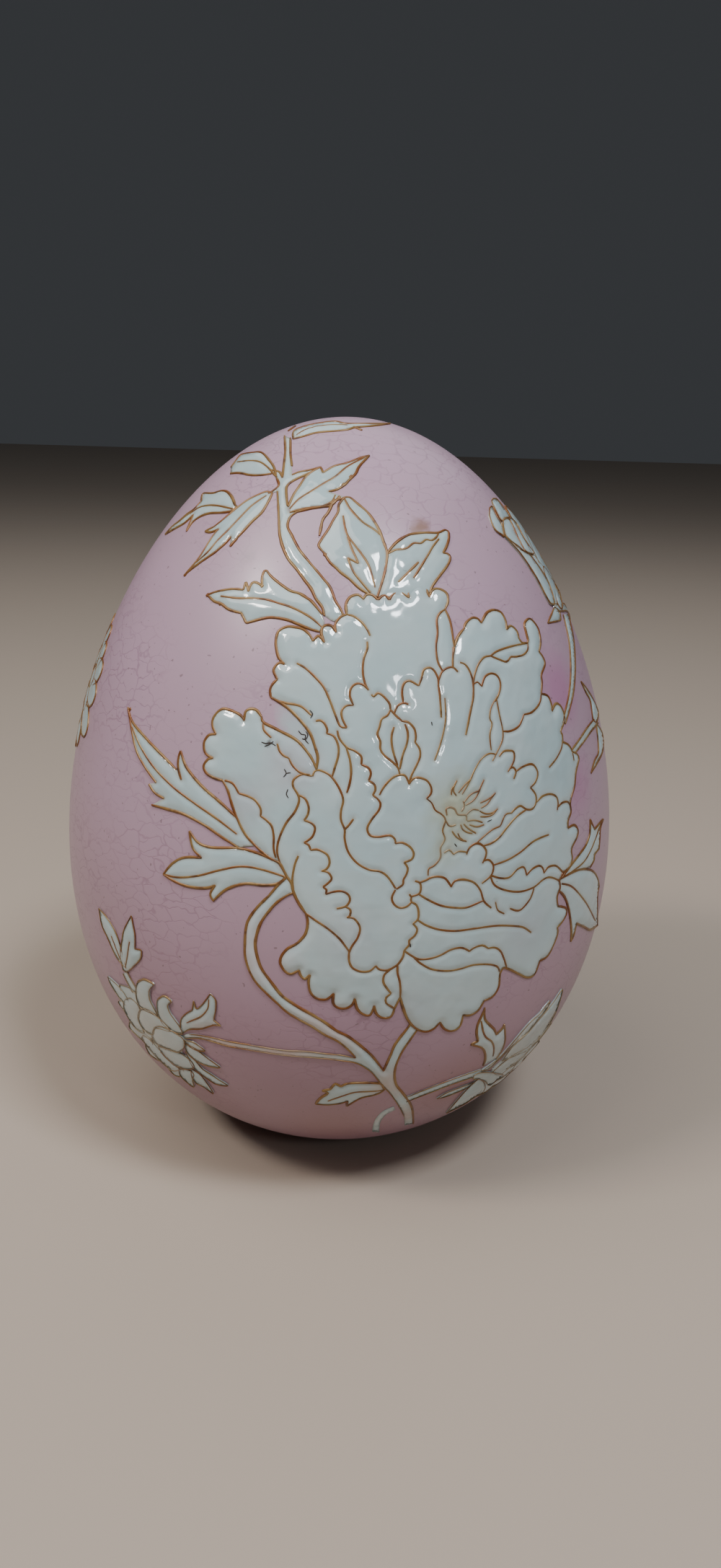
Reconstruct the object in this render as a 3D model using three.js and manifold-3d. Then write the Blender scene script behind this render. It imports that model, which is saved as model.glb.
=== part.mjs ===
// Ceramic decorative egg with a raised white enamel peony, leaves and stems.
// Millimetres, +Z up, origin at the centre of the flat foot, peony towards -Y.
import * as THREE from 'three';
import { mergeVertices } from 'three/addons/utils/BufferGeometryUtils.js';
import Module from 'manifold-3d';

const wasm = await Module();
wasm.setup();

// Driving dimensions of the body
const HEIGHT = 150;
const HALF_LENGTH = 76.2;
const BELLY_RADIUS = 56.7;
const TAPER = 0.139;
const FULLNESS = 0.017;
const ROUND_STEPS = 36;
const PROFILE_STEPS = 18;

// Driving dimensions of the raised enamel
const ENAMEL = 0.6;
const GROOVE_WIDTH = 0.8;
const STEM_WIDTH = 1.6;

// Side flowers: petal width, degrees they spread either way, how far along its length
// a petal is widest, and the length of the outermost petals as a share of the middle one
const PETAL_WIDTH = 5;
const BLOOM_SPREAD = 75;
const PETAL_SHOULDER = 0.75;
const OUTER_PETAL = 0.78;

// Half width of a plain leaf as a share of its length
const LEAF_HALF_WIDTH = 0.17;

// Reach of the enamel's raw solids inside and outside the body
const SINK = 7;
const PROUD = 5;

// Fineness: straight pieces in an arc, the bulge under which two are enough,
// steps of a walk over the surface, the width of a ring that gives the slope,
// the smallest detail kept and the distance within which corners are one
const ARC_STEPS = 3;
const SHALLOW_BULGE = 0.3;
const WALK_STEPS = 4;
const SLOPE_RING = 0.1;
const SMALLEST_STEP = 0.06;
const SAME_CORNER = 1e-4;

// The drawing sheet: what an eye in front of the egg sees, in sheet units.
// The eye stands EYE_DISTANCE from the egg's centre, raised by EYE_RISE degrees,
// and SHEET_FOCUS is the distance from the eye to the sheet in sheet units.
// The sheet is swung, tipped and leant by a few degrees, and NEAR is how far
// before the eye the solids cut along its sight lines begin.
const EYE_DISTANCE = 262.8;
const EYE_RISE = 18;
const SHEET_FOCUS = 1696;
const SHEET_CENTRE = [500, 1087];
const SHEET_SWING = 0.95;
const SHEET_TIP = -0.17;
const SHEET_LEAN = 1.69;
const NEAR = 170;

const centreHeight = HEIGHT - HALF_LENGTH;
// Facets that cut half inside and half outside the true circle
const FACET_EASE = (1 + 1 / Math.cos(Math.PI / ROUND_STEPS)) / 2;
const unit = EYE_DISTANCE / SHEET_FOCUS;

// Radius of the egg at height z, an ellipse made blunter below and finer above
function eggRadius(z) {
  const u = (z - centreHeight) / HALF_LENGTH;
  const round = Math.sqrt(Math.max(0, 1 - u * u));
  return BELLY_RADIUS * round * (1 - TAPER * u + FULLNESS * u * u);
}

// The way straight out of the surface at height z: sideways and upwards
function outwards(z) {
  const half = SLOPE_RING / 2;
  const slope = (eggRadius(z - half) - eggRadius(z + half)) / SLOPE_RING;
  return new THREE.Vector2(1, slope).normalize();
}

// Lathe of the egg, grown outwards by an offset, standing on its flat foot
function eggGeometry(offset) {
  const footAngle = Math.acos(-centreHeight / HALF_LENGTH);
  const profile = [new THREE.Vector2(0, 0)];
  for (let i = 0; i <= PROFILE_STEPS; i += 1) {
    const angle = footAngle * (1 - i / PROFILE_STEPS);
    const z = centreHeight + HALF_LENGTH * Math.cos(angle);
    const atTop = i === PROFILE_STEPS;
    const normal = atTop ? new THREE.Vector2(0, 1) : outwards(z);
    const reach = atTop ? 0 : eggRadius(z) * FACET_EASE + offset * normal.x;
    const height = i === 0 ? 0 : z + offset * normal.y;
    profile.push(new THREE.Vector2(reach, height));
  }
  const geometry = new THREE.LatheGeometry(profile, ROUND_STEPS);
  geometry.rotateX(Math.PI / 2);
  return geometry;
}

// A closed mesh becomes a solid that can be joined and cut
function solidOf(geometry) {
  const bare = geometry.clone();
  bare.deleteAttribute('normal');
  bare.deleteAttribute('uv');
  const merged = mergeVertices(bare, SAME_CORNER);
  const mesh = new wasm.Mesh({
    numProp: 3,
    vertProperties: new Float32Array(merged.attributes.position.array),
    triVerts: new Uint32Array(merged.index.array),
  });
  return new wasm.Manifold(mesh);
}

// A solid becomes a mesh again
function geometryOf(solid) {
  const mesh = solid.getMesh();
  const geometry = new THREE.BufferGeometry();
  geometry.setAttribute('position', new THREE.BufferAttribute(mesh.vertProperties, 3));
  geometry.setIndex(new THREE.BufferAttribute(mesh.triVerts, 1));
  geometry.computeVertexNormals();
  return geometry;
}

// Outlines on the sheet. A node is [x, y, bulge]: the side that leaves it is an arc
// whose rise is bulge times its length, on the right-hand side of the way round.
function arcs(nodes) {
  const outline = [];
  nodes.forEach(([ax, ay, bulge = 0], i) => {
    const [bx, by] = nodes[(i + 1) % nodes.length];
    outline.push([ax, ay]);
    if (bulge === 0) return;
    const steps = Math.abs(bulge) < SHALLOW_BULGE ? 2 : ARC_STEPS;
    const half = 2 * Math.atan(2 * bulge);
    const dx = (bx - ax) / 2;
    const dy = (by - ay) / 2;
    for (let k = 1; k < steps; k += 1) {
      const turn = -half + (2 * half * k) / steps;
      const along = Math.sin(turn) / Math.sin(half);
      const rise = (Math.cos(turn) - Math.cos(half)) / Math.sin(half);
      outline.push([ax + dx * (1 + along) - dy * rise, ay + dy * (1 + along) + dx * rise]);
    }
  });
  return outline;
}

// A stem or a groove: a strip along a line of points, its width changing evenly
function strip(points, startWidth, endWidth) {
  const left = [];
  const right = [];
  points.forEach(([x, y], i) => {
    const before = points[Math.max(0, i - 1)];
    const after = points[Math.min(points.length - 1, i + 1)];
    const along = new THREE.Vector2(after[0] - before[0], after[1] - before[1]).normalize();
    const width = startWidth + ((endWidth - startWidth) * i) / (points.length - 1);
    left.push([x - (along.y * width) / 2, y + (along.x * width) / 2]);
    right.unshift([x + (along.y * width) / 2, y - (along.x * width) / 2]);
  });
  return left.concat(right);
}

// The closed solid between an outline's near and far copies, placed by carry(x, y, depth)
function wedge(outline, carry) {
  const shape = new THREE.Shape(outline.map(([x, y]) => new THREE.Vector2(x, y)));
  const geometry = new THREE.ExtrudeGeometry(shape, { depth: 1, bevelEnabled: false });
  const position = geometry.attributes.position;
  for (let i = 0; i < position.count; i += 1) {
    const point = carry(position.getX(i), position.getY(i), position.getZ(i));
    position.setXYZ(i, point.x, point.y, point.z);
  }
  return solidOf(geometry);
}

// Sight lines from the eye through the sheet
const degrees = Math.PI / 180;
const centre = new THREE.Vector3(0, 0, centreHeight);
const rise = EYE_RISE * degrees;
const eye = new THREE.Vector3(0, -Math.cos(rise), Math.sin(rise))
  .multiplyScalar(EYE_DISTANCE)
  .add(centre);
const swing = SHEET_SWING * degrees;
const dip = (EYE_RISE + SHEET_TIP) * degrees;
const ahead = new THREE.Vector3(Math.sin(swing), Math.cos(swing), 0);
const forward = ahead.multiplyScalar(Math.cos(dip)).setZ(-Math.sin(dip));
const level = new THREE.Vector3(Math.cos(swing), -Math.sin(swing), 0);
const right = level.clone().applyAxisAngle(forward, -SHEET_LEAN * degrees);
const down = new THREE.Vector3().crossVectors(forward, right);

// The point on the sight line through a place on the sheet, depth 1 being level
// with the egg's centre
function alongSight(x, y, depth) {
  const distance = NEAR + (EYE_DISTANCE - NEAR) * depth;
  return forward.clone()
    .addScaledVector(right, (x - SHEET_CENTRE[0]) / SHEET_FOCUS)
    .addScaledVector(down, (y - SHEET_CENTRE[1]) / SHEET_FOCUS)
    .multiplyScalar(distance)
    .add(eye);
}

// A point off the surface at a bearing (radians from the front) and a height,
// depth 0 being SINK inside the body and depth 1 PROUD outside it
function offSurface(bearing, z, depth) {
  const normal = outwards(z);
  const out = (SINK + PROUD) * depth - SINK;
  const reach = eggRadius(z) + normal.x * out;
  const height = z + normal.y * out;
  return new THREE.Vector3(reach * Math.sin(bearing), -reach * Math.cos(bearing), height);
}

// Places off the sheet: x and y in millimetres along the surface from a point given
// by its bearing from the front, in degrees, and its height, turned by spin degrees
function alongSurface(bearing, height, spin) {
  const turn = spin * degrees;
  return (x, y, depth) => {
    const across = x * Math.cos(turn) - y * Math.sin(turn);
    const up = x * Math.sin(turn) + y * Math.cos(turn);
    let z = height;
    for (let k = 0; k < WALK_STEPS; k += 1) {
      const slope = eggRadius(z + 0.5) - eggRadius(z - 0.5);
      z += up / WALK_STEPS / Math.hypot(1, slope);
    }
    return offSurface(bearing * degrees + across / eggRadius(z), z, depth);
  };
}

// The main flower's rim, petal by petal, anticlockwise as seen
const FLOWER_RIM = [
  [434, 889, 0.75], [395, 921, 0.5], [385, 942, 0.3], [376, 967], [417, 999, -0.1],
  [439, 1066, 0.1], [412, 1027], [363, 994, 0.5], [339, 999, 0.5], [300, 1018, 0.45],
  [296, 1051, 0.45], [309, 1082], [329, 1134], [355, 1173], [383, 1194], [404, 1224],
  [424, 1266, 0.15], [413, 1307], [397, 1317, 0.45], [415, 1345, 0.4], [430, 1351, 0.5],
  [463, 1377, 0.45], [492, 1384, 0.5], [519, 1394, 0.5], [547, 1398], [555, 1382],
  [576, 1425, 0.25], [610, 1417, 0.5], [642, 1407, 0.15], [671, 1387, 0.2], [693, 1345],
  [706, 1343, 0.4], [748, 1332, 0.1], [773, 1290, 0.35], [773, 1256], [775, 1221],
  [780, 1210, 0.1], [792, 1177], [800, 1155, 0.4], [787, 1148], [791, 1107, 0.05],
  [801, 1050], [793, 1042, 0.3], [780, 1029], [777, 1014, 0.15], [781, 988, 0.4],
  [765, 986, 0.35], [750, 962], [755, 921, 0.1], [747, 904, 0.15], [742, 866, 0.5],
  [727, 865], [731, 892], [719, 885, 0.4], [702, 873, 0.6], [667, 864, 0.45],
  [643, 872], [629, 897], [617, 845, 0.45], [595, 828, 0.6], [567, 829, 0.3],
  [540, 832, 0.4], [524, 832, 0.4], [504, 831, 0.4], [481, 852, 0.3], [466, 877, 0.5],
  [450, 891, 0.4],
];

// The lines that part one petal from the next
const PETAL_LINES = [
  [[434, 1076], [469, 1088], [478, 1160], [511, 1205], [548, 1231]],
  [[430, 1074], [407, 1086], [397, 1142], [385, 1180], [400, 1216]],
  [[422, 1266], [455, 1287], [487, 1336], [552, 1335]],
  [[560, 1317], [580, 1263], [548, 1231]],
  [[570, 1250], [606, 1216], [647, 1220], [669, 1248]],
  [[560, 1317], [637, 1313], [693, 1318], [702, 1340]],
  [[468, 1013], [519, 1088], [515, 1150], [562, 1190], [548, 1231]],
  [[522, 1106], [552, 1081], [600, 1113], [612, 1188], [593, 1213]],
  [[513, 882], [505, 957], [475, 990], [468, 1013]],
  [[546, 990], [580, 951], [621, 926], [629, 895]],
  [[667, 952], [684, 938], [692, 975], [680, 1040]],
  [[640, 1101], [666, 1053], [711, 1043]],
  [[646, 1184], [670, 1193], [759, 1157]],
];

// Leaves on the sheet, the larger ones with the line of a vein
const LEAVES = [
  {
    rim: [[178, 981, 0.08], [217, 1085], [208, 1088], [228, 1107], [211, 1116, -0.05],
      [331, 1176], [362, 1172], [336, 1134, -0.06], [251, 1041], [252, 1078, 0]],
    vein: [[196, 1035], [240, 1090], [329, 1156]],
  },
  {
    rim: [[227, 1212, 0.06], [299, 1228], [296, 1249, -0.1], [388, 1225], [408, 1214], [388, 1188],
      [290, 1174, 0.08], [263, 1152], [280, 1189, 0.1]],
    vein: [[240, 1214], [306, 1206], [390, 1213]],
  },
  {
    rim: [[288, 825], [336, 850], [342, 863, -0.08], [443, 876], [447, 866, 0.08], [370, 791, 0.1],
      [363, 812], [341, 808], [345, 818]],
  },
  {
    rim: [[472, 687, 0.05], [445, 745, 0.25], [447, 765], [523, 831], [536, 785, 0.15], [498, 701]],
    vein: [[477, 716], [492, 757], [520, 815]],
  },
  {
    rim: [[537, 767], [524, 831], [594, 828], [621, 780], [614, 767, 0.1], [622, 740, 0.3],
      [606, 739, 0.1]],
  },
  {
    rim: [[513, 631, 0.08], [400, 704], [410, 708], [478, 690], [457, 682, 0.08]],
  },
  {
    rim: [[257, 797, 0.03], [321, 745], [330, 745, 0.12], [380, 682], [335, 700, 0.03], [285, 737],
      [304, 735]],
  },
  {
    rim: [[232, 740], [272, 714], [259, 736, -0.2], [329, 703], [307, 681], [281, 684], [280, 695]],
  },
  {
    rim: [[438, 1529, 0.03], [533, 1510], [528, 1502], [465, 1502], [458, 1510], [447, 1512]],
  },
  {
    rim: [[835, 1136, -0.05], [778, 1218], [818, 1202, 0.2], [829, 1176]],
  },
  {
    rim: [[777, 1220, 0], [788, 1256], [792, 1302], [800, 1281], [826, 1283], [829, 1225, 0.2],
      [812, 1206]],
  },
  {
    rim: [[672, 1398, -0.1], [654, 1448, 0.1], [673, 1470], [688, 1467], [699, 1422], [688, 1434]],
  },
  {
    rim: [[292, 1377, 0.1], [253, 1425], [297, 1421, 0.15]],
  },
  {
    rim: [[183, 1269, 0.1], [172, 1345], [197, 1318, 0.1]],
  },
  {
    rim: [[405, 606], [481, 595], [536, 588], [460, 586]],
  },
];

// Stems on the sheet: centre line, then the width at each end
const STEMS = [
  [[[398, 598], [398, 640], [390, 675], [391, 720], [407, 765], [440, 815], [464, 858]], 8, 22],
  [[[443, 650], [410, 662], [394, 678]], 5, 10],
  [[[402, 1228], [365, 1262], [347, 1310], [370, 1367], [430, 1413], [500, 1466], [540, 1494]],
    14, 24],
  [[[574, 1424], [552, 1457], [540, 1494], [562, 1535], [567, 1562]], 11, 13],
  [[[508, 1476], [450, 1464], [380, 1455], [310, 1444], [254, 1437]], 8, 4],
  [[[552, 1528], [600, 1507], [668, 1486]], 4, 6],
  [[[782, 1004], [793, 960], [793, 900], [771, 850]], 5, 7],
];

// A chrysanthemum seen from its side: a fan of long petals round a small cup
function fan(count, length) {
  const petals = [];
  const half = PETAL_WIDTH / 2;
  for (let k = 0; k < count; k += 1) {
    const share = k / (count - 1);
    const angle = BLOOM_SPREAD * (2 * share - 1) * degrees;
    const reach = length * (OUTER_PETAL + (1 - OUTER_PETAL) * Math.sin(Math.PI * share));
    const widest = reach * PETAL_SHOULDER;
    const shift = ([along, aside]) => [
      along * Math.cos(angle) - aside * Math.sin(angle),
      along * Math.sin(angle) + aside * Math.cos(angle),
    ];
    const petal = [[0, -1], [widest, -half], [reach, 0], [widest, half], [0, 1]];
    petals.push(petal.map(shift));
  }
  return petals;
}

// A plain pointed leaf of a given length, its foot at the place it is set out from
function plainLeaf(length) {
  const half = length * LEAF_HALF_WIDTH;
  return [[0, 0], [length / 2, -half], [length, 0], [length / 2, half]];
}

// Flowers round the sides and the back: bearing, height, spin, petals, length
const BLOOMS = [
  { bearing: 66, height: 117, spin: 118, petals: 5, length: 27 },
  { bearing: -33, height: 38, spin: 168, petals: 5, length: 22 },
  { bearing: 39, height: 29, spin: 52, petals: 4, length: 30 },
  { bearing: -84, height: 92, spin: 70, petals: 5, length: 19 },
  { bearing: 176, height: 78, spin: 96, petals: 7, length: 30 },
];

// Stems round the back: points as bearing and height
const BACK_STEMS = [
  [[66, 117], [90, 112], [118, 92], [150, 74], [176, 78]],
  [[176, 78], [188, 52], [168, 28], [140, 18]],
  [[188, 52], [222, 44], [252, 62], [276, 92]],
];

// Leaves round the back: bearing, height, spin, length
const BACK_LEAVES = [
  [104, 104, 60, 20], [124, 88, -70, 18], [206, 47, 50, 22], [236, 52, -60, 18], [170, 34, 150, 20],
  [152, 74, 120, 20], [262, 74, 150, 18],
];

// Every raised area, cut to the enamel's thickness over the body
const sheetWedge = (outline) => wedge(outline, alongSight);
const raised = [sheetWedge(arcs(FLOWER_RIM))];
LEAVES.forEach(({ rim }) => raised.push(sheetWedge(arcs(rim))));
STEMS.forEach(([line, start, end]) => raised.push(sheetWedge(strip(line, start, end))));
BLOOMS.forEach(({ bearing, height, spin, petals, length }) => {
  fan(petals, length).forEach((petal) => {
    raised.push(wedge(petal, alongSurface(bearing, height, spin)));
  });
});
BACK_STEMS.forEach((line) => {
  const arcLine = line.map(([bearing, height]) => [bearing * degrees * BELLY_RADIUS, height]);
  const smooth = new THREE.SplineCurve(arcLine.map(([x, y]) => new THREE.Vector2(x, y)));
  const points = smooth.getPoints(line.length + 1).map((p) => [p.x, p.y]);
  const carry = (x, y, depth) => offSurface(x / BELLY_RADIUS, y, depth);
  raised.push(wedge(strip(points, STEM_WIDTH, STEM_WIDTH), carry));
});
BACK_LEAVES.forEach(([bearing, height, spin, length]) => {
  raised.push(wedge(plainLeaf(length), alongSurface(bearing, height, spin)));
});

// Grooves that part the petals and mark the veins, down to the body
const grooveWidth = GROOVE_WIDTH / unit;
const veins = LEAVES.filter(({ vein }) => vein).map(({ vein }) => vein);
const grooves = PETAL_LINES.concat(veins)
  .map((line) => sheetWedge(strip(line, grooveWidth, grooveWidth)));

// Body and enamel joined, keeping the one piece that is the egg
const body = solidOf(eggGeometry(0));
const grown = solidOf(eggGeometry(ENAMEL));
const enamel = wasm.Manifold.union(raised).subtract(wasm.Manifold.union(grooves)).intersect(grown);
const pieces = body.add(enamel).decompose().sort((a, b) => b.volume() - a.volume());
const whole = pieces[0].simplify(SMALLEST_STEP);

const glaze = new THREE.MeshStandardMaterial({ color: 0xb09aa4, roughness: 0.35, metalness: 0 });
const egg = new THREE.Mesh(geometryOf(whole), glaze);
egg.name = 'egg';

const group = new THREE.Group();
group.add(egg);
export default group;
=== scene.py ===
import math

import bpy
from mathutils import Matrix, Vector, kdtree, noise
from mathutils.geometry import delaunay_2d_cdt


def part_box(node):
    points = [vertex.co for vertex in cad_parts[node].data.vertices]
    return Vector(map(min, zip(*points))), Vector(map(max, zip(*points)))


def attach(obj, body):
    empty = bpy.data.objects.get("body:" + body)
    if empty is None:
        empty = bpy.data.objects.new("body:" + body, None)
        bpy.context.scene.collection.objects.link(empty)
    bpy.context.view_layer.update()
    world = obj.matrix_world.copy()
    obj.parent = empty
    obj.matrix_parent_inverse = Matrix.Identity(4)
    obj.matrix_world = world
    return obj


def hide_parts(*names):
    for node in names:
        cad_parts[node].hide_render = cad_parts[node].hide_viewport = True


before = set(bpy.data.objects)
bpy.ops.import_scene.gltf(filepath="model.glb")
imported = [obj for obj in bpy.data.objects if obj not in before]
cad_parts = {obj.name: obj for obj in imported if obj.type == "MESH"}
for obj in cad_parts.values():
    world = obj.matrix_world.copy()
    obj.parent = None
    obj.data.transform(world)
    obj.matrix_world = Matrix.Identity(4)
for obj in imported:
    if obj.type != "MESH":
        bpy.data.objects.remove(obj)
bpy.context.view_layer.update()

# Egg body
# The real piece is a hollow slip-cast pottery egg, dipped in pink glaze and fired. It stands by
# itself on a small flat foot. Here a sphere is drawn out to the egg's measured profile, then cut
# off flat for the foot.

MM = 0.001
low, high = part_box("egg")
HEIGHT = high.z - low.z
HALF_LENGTH = 0.508 * HEIGHT
BELLY_RADIUS = 0.378 * HEIGHT
TAPER = 0.139
FULLNESS = 0.017
CENTRE_Z = HEIGHT - HALF_LENGTH
ROUND_STEPS = 256
RING_STEPS = 176
FOOT_CREASE = math.radians(40)


def fullness_at(z):
    """How much wider than a plain ellipse the egg is at height z, and its change with z."""
    u = (z - CENTRE_Z) / HALF_LENGTH
    return 1 - TAPER * u + FULLNESS * u * u, (2 * FULLNESS * u - TAPER) / HALF_LENGTH


def egg_radius(z):
    u = (z - CENTRE_Z) / HALF_LENGTH
    return BELLY_RADIUS * math.sqrt(max(0.0, 1 - u * u)) * fullness_at(z)[0]


def egg_gap(p):
    """Below zero inside the egg, zero on its surface, above zero outside."""
    u = (p.z - CENTRE_Z) / HALF_LENGTH
    return (p.x**2 + p.y**2) / (BELLY_RADIUS * fullness_at(p.z)[0]) ** 2 + u * u - 1


def egg_normal(p):
    wide, change = fullness_at(p.z)
    across = 1 / (BELLY_RADIUS * wide) ** 2
    u = (p.z - CENTRE_Z) / HALF_LENGTH
    up = u / HALF_LENGTH - (p.x**2 + p.y**2) * across * change / wide
    return Vector((p.x * across, p.y * across, up)).normalized()


bpy.ops.object.select_all(action="DESELECT")
bpy.ops.mesh.primitive_uv_sphere_add(segments=ROUND_STEPS, ring_count=RING_STEPS, radius=1)
egg = bpy.context.object
egg.name = "egg_body"
for vertex in egg.data.vertices:
    unit = vertex.co.normalized()
    z = CENTRE_Z + HALF_LENGTH * unit.z
    across = Vector((unit.x, unit.y))
    if across.length > 1e-6:
        across = across.normalized() * egg_radius(z)
    vertex.co = (across.x, across.y, z)
bpy.ops.object.mode_set(mode="EDIT")
bpy.ops.mesh.select_all(action="SELECT")
bpy.ops.mesh.bisect(
    plane_co=(0, 0, 0), plane_no=(0, 0, 1), use_fill=True, clear_inner=True, threshold=1e-6
)
bpy.ops.object.mode_set(mode="OBJECT")
bpy.ops.object.shade_smooth_by_angle(angle=FOOT_CREASE)

# Places on the front of the egg are given on a drawing sheet, as x to the right and y downwards
# in steps of about 0.155 mm. An eye in front of the egg looks through the sheet at the egg.

SHEET_EYE = Vector((0, -249.98, 155.0)) * MM
SHEET_FOCUS = 1696
SHEET_HEIGHT = 2174
SHEET_MIDDLE = (500, 1087)
SHEET_PITCH = math.radians(17.83)
SHEET_YAW = math.radians(0.954)
SHEET_ROLL = math.radians(1.694)
SIGHT_START = 0.55
SIGHT_STEPS = 14
SMALL_STEP = 1e-6
GRAZING = -2.0
FORWARD = Vector(
    (
        math.sin(SHEET_YAW) * math.cos(SHEET_PITCH),
        math.cos(SHEET_YAW) * math.cos(SHEET_PITCH),
        -math.sin(SHEET_PITCH),
    )
)
level_right = Vector((math.cos(SHEET_YAW), -math.sin(SHEET_YAW), 0))
level_up = level_right.cross(FORWARD)
RIGHT = math.cos(SHEET_ROLL) * level_right + math.sin(SHEET_ROLL) * level_up
UP = math.cos(SHEET_ROLL) * level_up - math.sin(SHEET_ROLL) * level_right


def on_sheet(x, y):
    """The point of the egg seen at x, y on the drawing sheet, and the outward direction there."""
    sideways = (x - SHEET_MIDDLE[0]) / SHEET_FOCUS
    downwards = (y - SHEET_MIDDLE[1]) / SHEET_FOCUS
    ray = (FORWARD + RIGHT * sideways - UP * downwards).normalized()
    reach = SHEET_EYE.length * SIGHT_START
    for _ in range(SIGHT_STEPS):
        gap = egg_gap(SHEET_EYE + ray * reach)
        change = (egg_gap(SHEET_EYE + ray * (reach + SMALL_STEP)) - gap) / SMALL_STEP
        if change > GRAZING:
            break
        reach -= gap / change
    point = SHEET_EYE + ray * reach
    return point, egg_normal(point)


def colour(code):
    """An sRGB hex colour as the linear values that shaders take."""
    parts = [int(code[i : i + 2], 16) / 255 for i in (1, 3, 5)]
    return [c / 12.92 if c <= 0.04045 else ((c + 0.055) / 1.055) ** 2.4 for c in parts] + [1.0]


def start_material(name):
    material = bpy.data.materials.new(name)
    material.use_nodes = True
    return material, material.node_tree


def plug(tree, node, inputs):
    """Links each of a node's inputs to a socket, or sets it to a value."""
    for key, value in inputs.items():
        if isinstance(value, bpy.types.NodeSocket):
            tree.links.new(value, node.inputs[key])
        else:
            node.inputs[key].default_value = value


def add(tree, kind, inputs, out=0, **settings):
    """Adds a node with its settings and inputs, and gives its out socket."""
    node = tree.nodes.new(kind)
    for key, value in settings.items():
        setattr(node, key, value)
    plug(tree, node, inputs)
    return node.outputs[out]


def patches(tree, spots, lump, detail, low, high, most=1.0):
    """Cloudy patches, lump metres across, that fade in from none at low to most at high."""
    places = {"Vector": spots, "Scale": 1 / lump, "Detail": detail}
    cloud = add(tree, "ShaderNodeTexNoise", places, "Fac")
    limits = {"Value": cloud, "From Min": low, "From Max": high, "To Max": most}
    return add(tree, "ShaderNodeMapRange", limits)


def wander(tree, spots, lump, amount):
    """The same places, pushed about by up to half of amount either way."""
    swirl = add(tree, "ShaderNodeTexNoise", {"Vector": spots, "Scale": 1 / lump}, "Color")
    centred = {0: swirl, 1: (0.5, 0.5, 0.5)}
    push = add(tree, "ShaderNodeVectorMath", centred, operation="SUBTRACT")
    pushed = {0: push, 1: (amount, amount, amount), 2: spots}
    return add(tree, "ShaderNodeVectorMath", pushed, operation="MULTIPLY_ADD")


def mark(tree, spots, x, y, radius, strength):
    """How far a soft-edged mark, x and y on the drawing sheet, covers the surface."""
    ends = {0: spots, 1: on_sheet(x, y)[0]}
    away = add(tree, "ShaderNodeVectorMath", ends, "Value", operation="DISTANCE")
    soft = {"From Min": radius * MM * SOFT_FROM, "From Max": radius * MM}
    return add(tree, "ShaderNodeMapRange", {"Value": away, **soft, "To Min": strength, "To Max": 0})


def paint(tree, code, layers):
    """A base colour, with other colours over it as far as each one covers."""
    tone = colour(code)
    for cover, over in layers:
        coats = {0: cover, 6: tone, 7: colour(over)}
        tone = add(tree, "ShaderNodeMix", coats, 2, data_type="RGBA")
    return tone


# Pink glaze, dipped and fired to a low gloss: lights show on it as wide soft patches. It is
# mottled and specked, and stained in a few places; painted shade and painted warm floor bounce
# make it darker and more red-brown low down. The crazing's cells are drawn wider than real ones,
# so that they show.

PINK = "#ad92a2"
PINK_CLOUD = "#b195a8"
PINK_MOTTLE = "#b396a2"
# Painted shade and painted warm floor bounce: the glaze is drawn darker and more red-brown towards
# the foot
PINK_PAINTED_SHADE = "#8b6571"
PAINTED_SHADE_HEIGHT = 85 * MM
PAINTED_SHADE_AT_FOOT = 0.75
CRACK_BROWN = "#87667a"
SPECK_BROWN = "#6f5a5e"
CRAZE_CELL = 4.762 * MM
CRAZE_FLATTENING = 2.1
CRAZE_PATCH = 26.32 * MM
CRACK_EDGE = 0.05
CRACK_STRENGTH = 0.5
CRACK_DEPTH = 0.03 * MM
CLOUD = 29.41 * MM
MOTTLE = 7.692 * MM
SPECK = 0.66667 * MM
GENTLE_WANDER = (3.846 * MM, 4 * MM)
RAGGED_WANDER = (1.923 * MM, 2.2 * MM)
SOFT_FROM = 0.25
# Stains, the purple flush on the right, the thin white between two petals on the left, and two
# red-brown patches of painted shade and painted floor bounce low at the front by the foot: each
# mark's place on the drawing sheet, radius in mm, strength and colour
GLAZE_MARKS = [
    (583, 729, 2.4, 0.75, "#7d5a3c"),
    (575, 736, 1.6, 0.5, "#8a6a50"),
    (775, 955, 9.0, 0.55, "#a86b93"),
    (800, 1090, 8.0, 0.4, "#a86b93"),
    (345, 772, 2.0, 0.3, "#8f7f88"),
    (396, 990, 2.6, 0.6, "#a9b6ba"),
    (410, 1006, 3.6, 0.95, "#a9b6ba"),
    (430, 1036, 5.0, 1.0, "#a9b8ba"),
    # Painted shade and painted warm floor bounce, low at the front by the foot
    (470, 1560, 14.0, 0.4, "#8c5f57"),
    (640, 1500, 15.0, 0.4, "#8c5f57"),
]

pink, tree = start_material("pink_glaze")
spots = add(tree, "ShaderNodeTexCoord", {}, "Object")
places = {"Vector": wander(tree, spots, *GENTLE_WANDER), "Scale": (1, 1, CRAZE_FLATTENING)}
cells = {"Vector": add(tree, "ShaderNodeMapping", places), "Scale": 1 / CRAZE_CELL}
edge = add(tree, "ShaderNodeTexVoronoi", cells, "Distance", feature="DISTANCE_TO_EDGE")
crack = {"Value": edge, "From Max": CRACK_EDGE, "To Min": 1, "To Max": 0}
shown = patches(tree, spots, CRAZE_PATCH, 2, 0.38, 0.62)
cracks_shown = {0: add(tree, "ShaderNodeMapRange", crack), 1: shown}
craze = add(tree, "ShaderNodeMath", cracks_shown, operation="MULTIPLY")
faint_craze = add(tree, "ShaderNodeMath", {0: craze, 1: CRACK_STRENGTH}, operation="MULTIPLY")
sunk_craze = add(tree, "ShaderNodeMath", {0: craze, 1: -1}, operation="MULTIPLY")
height = add(tree, "ShaderNodeSeparateXYZ", {"Vector": spots}, "Z")
# Painted shade, darker and more red-brown towards the foot
painted_foot_shade = {"Value": height, "From Max": PAINTED_SHADE_HEIGHT, "To Min": PAINTED_SHADE_AT_FOOT, "To Max": 0}
ragged = wander(tree, spots, *RAGGED_WANDER)
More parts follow.
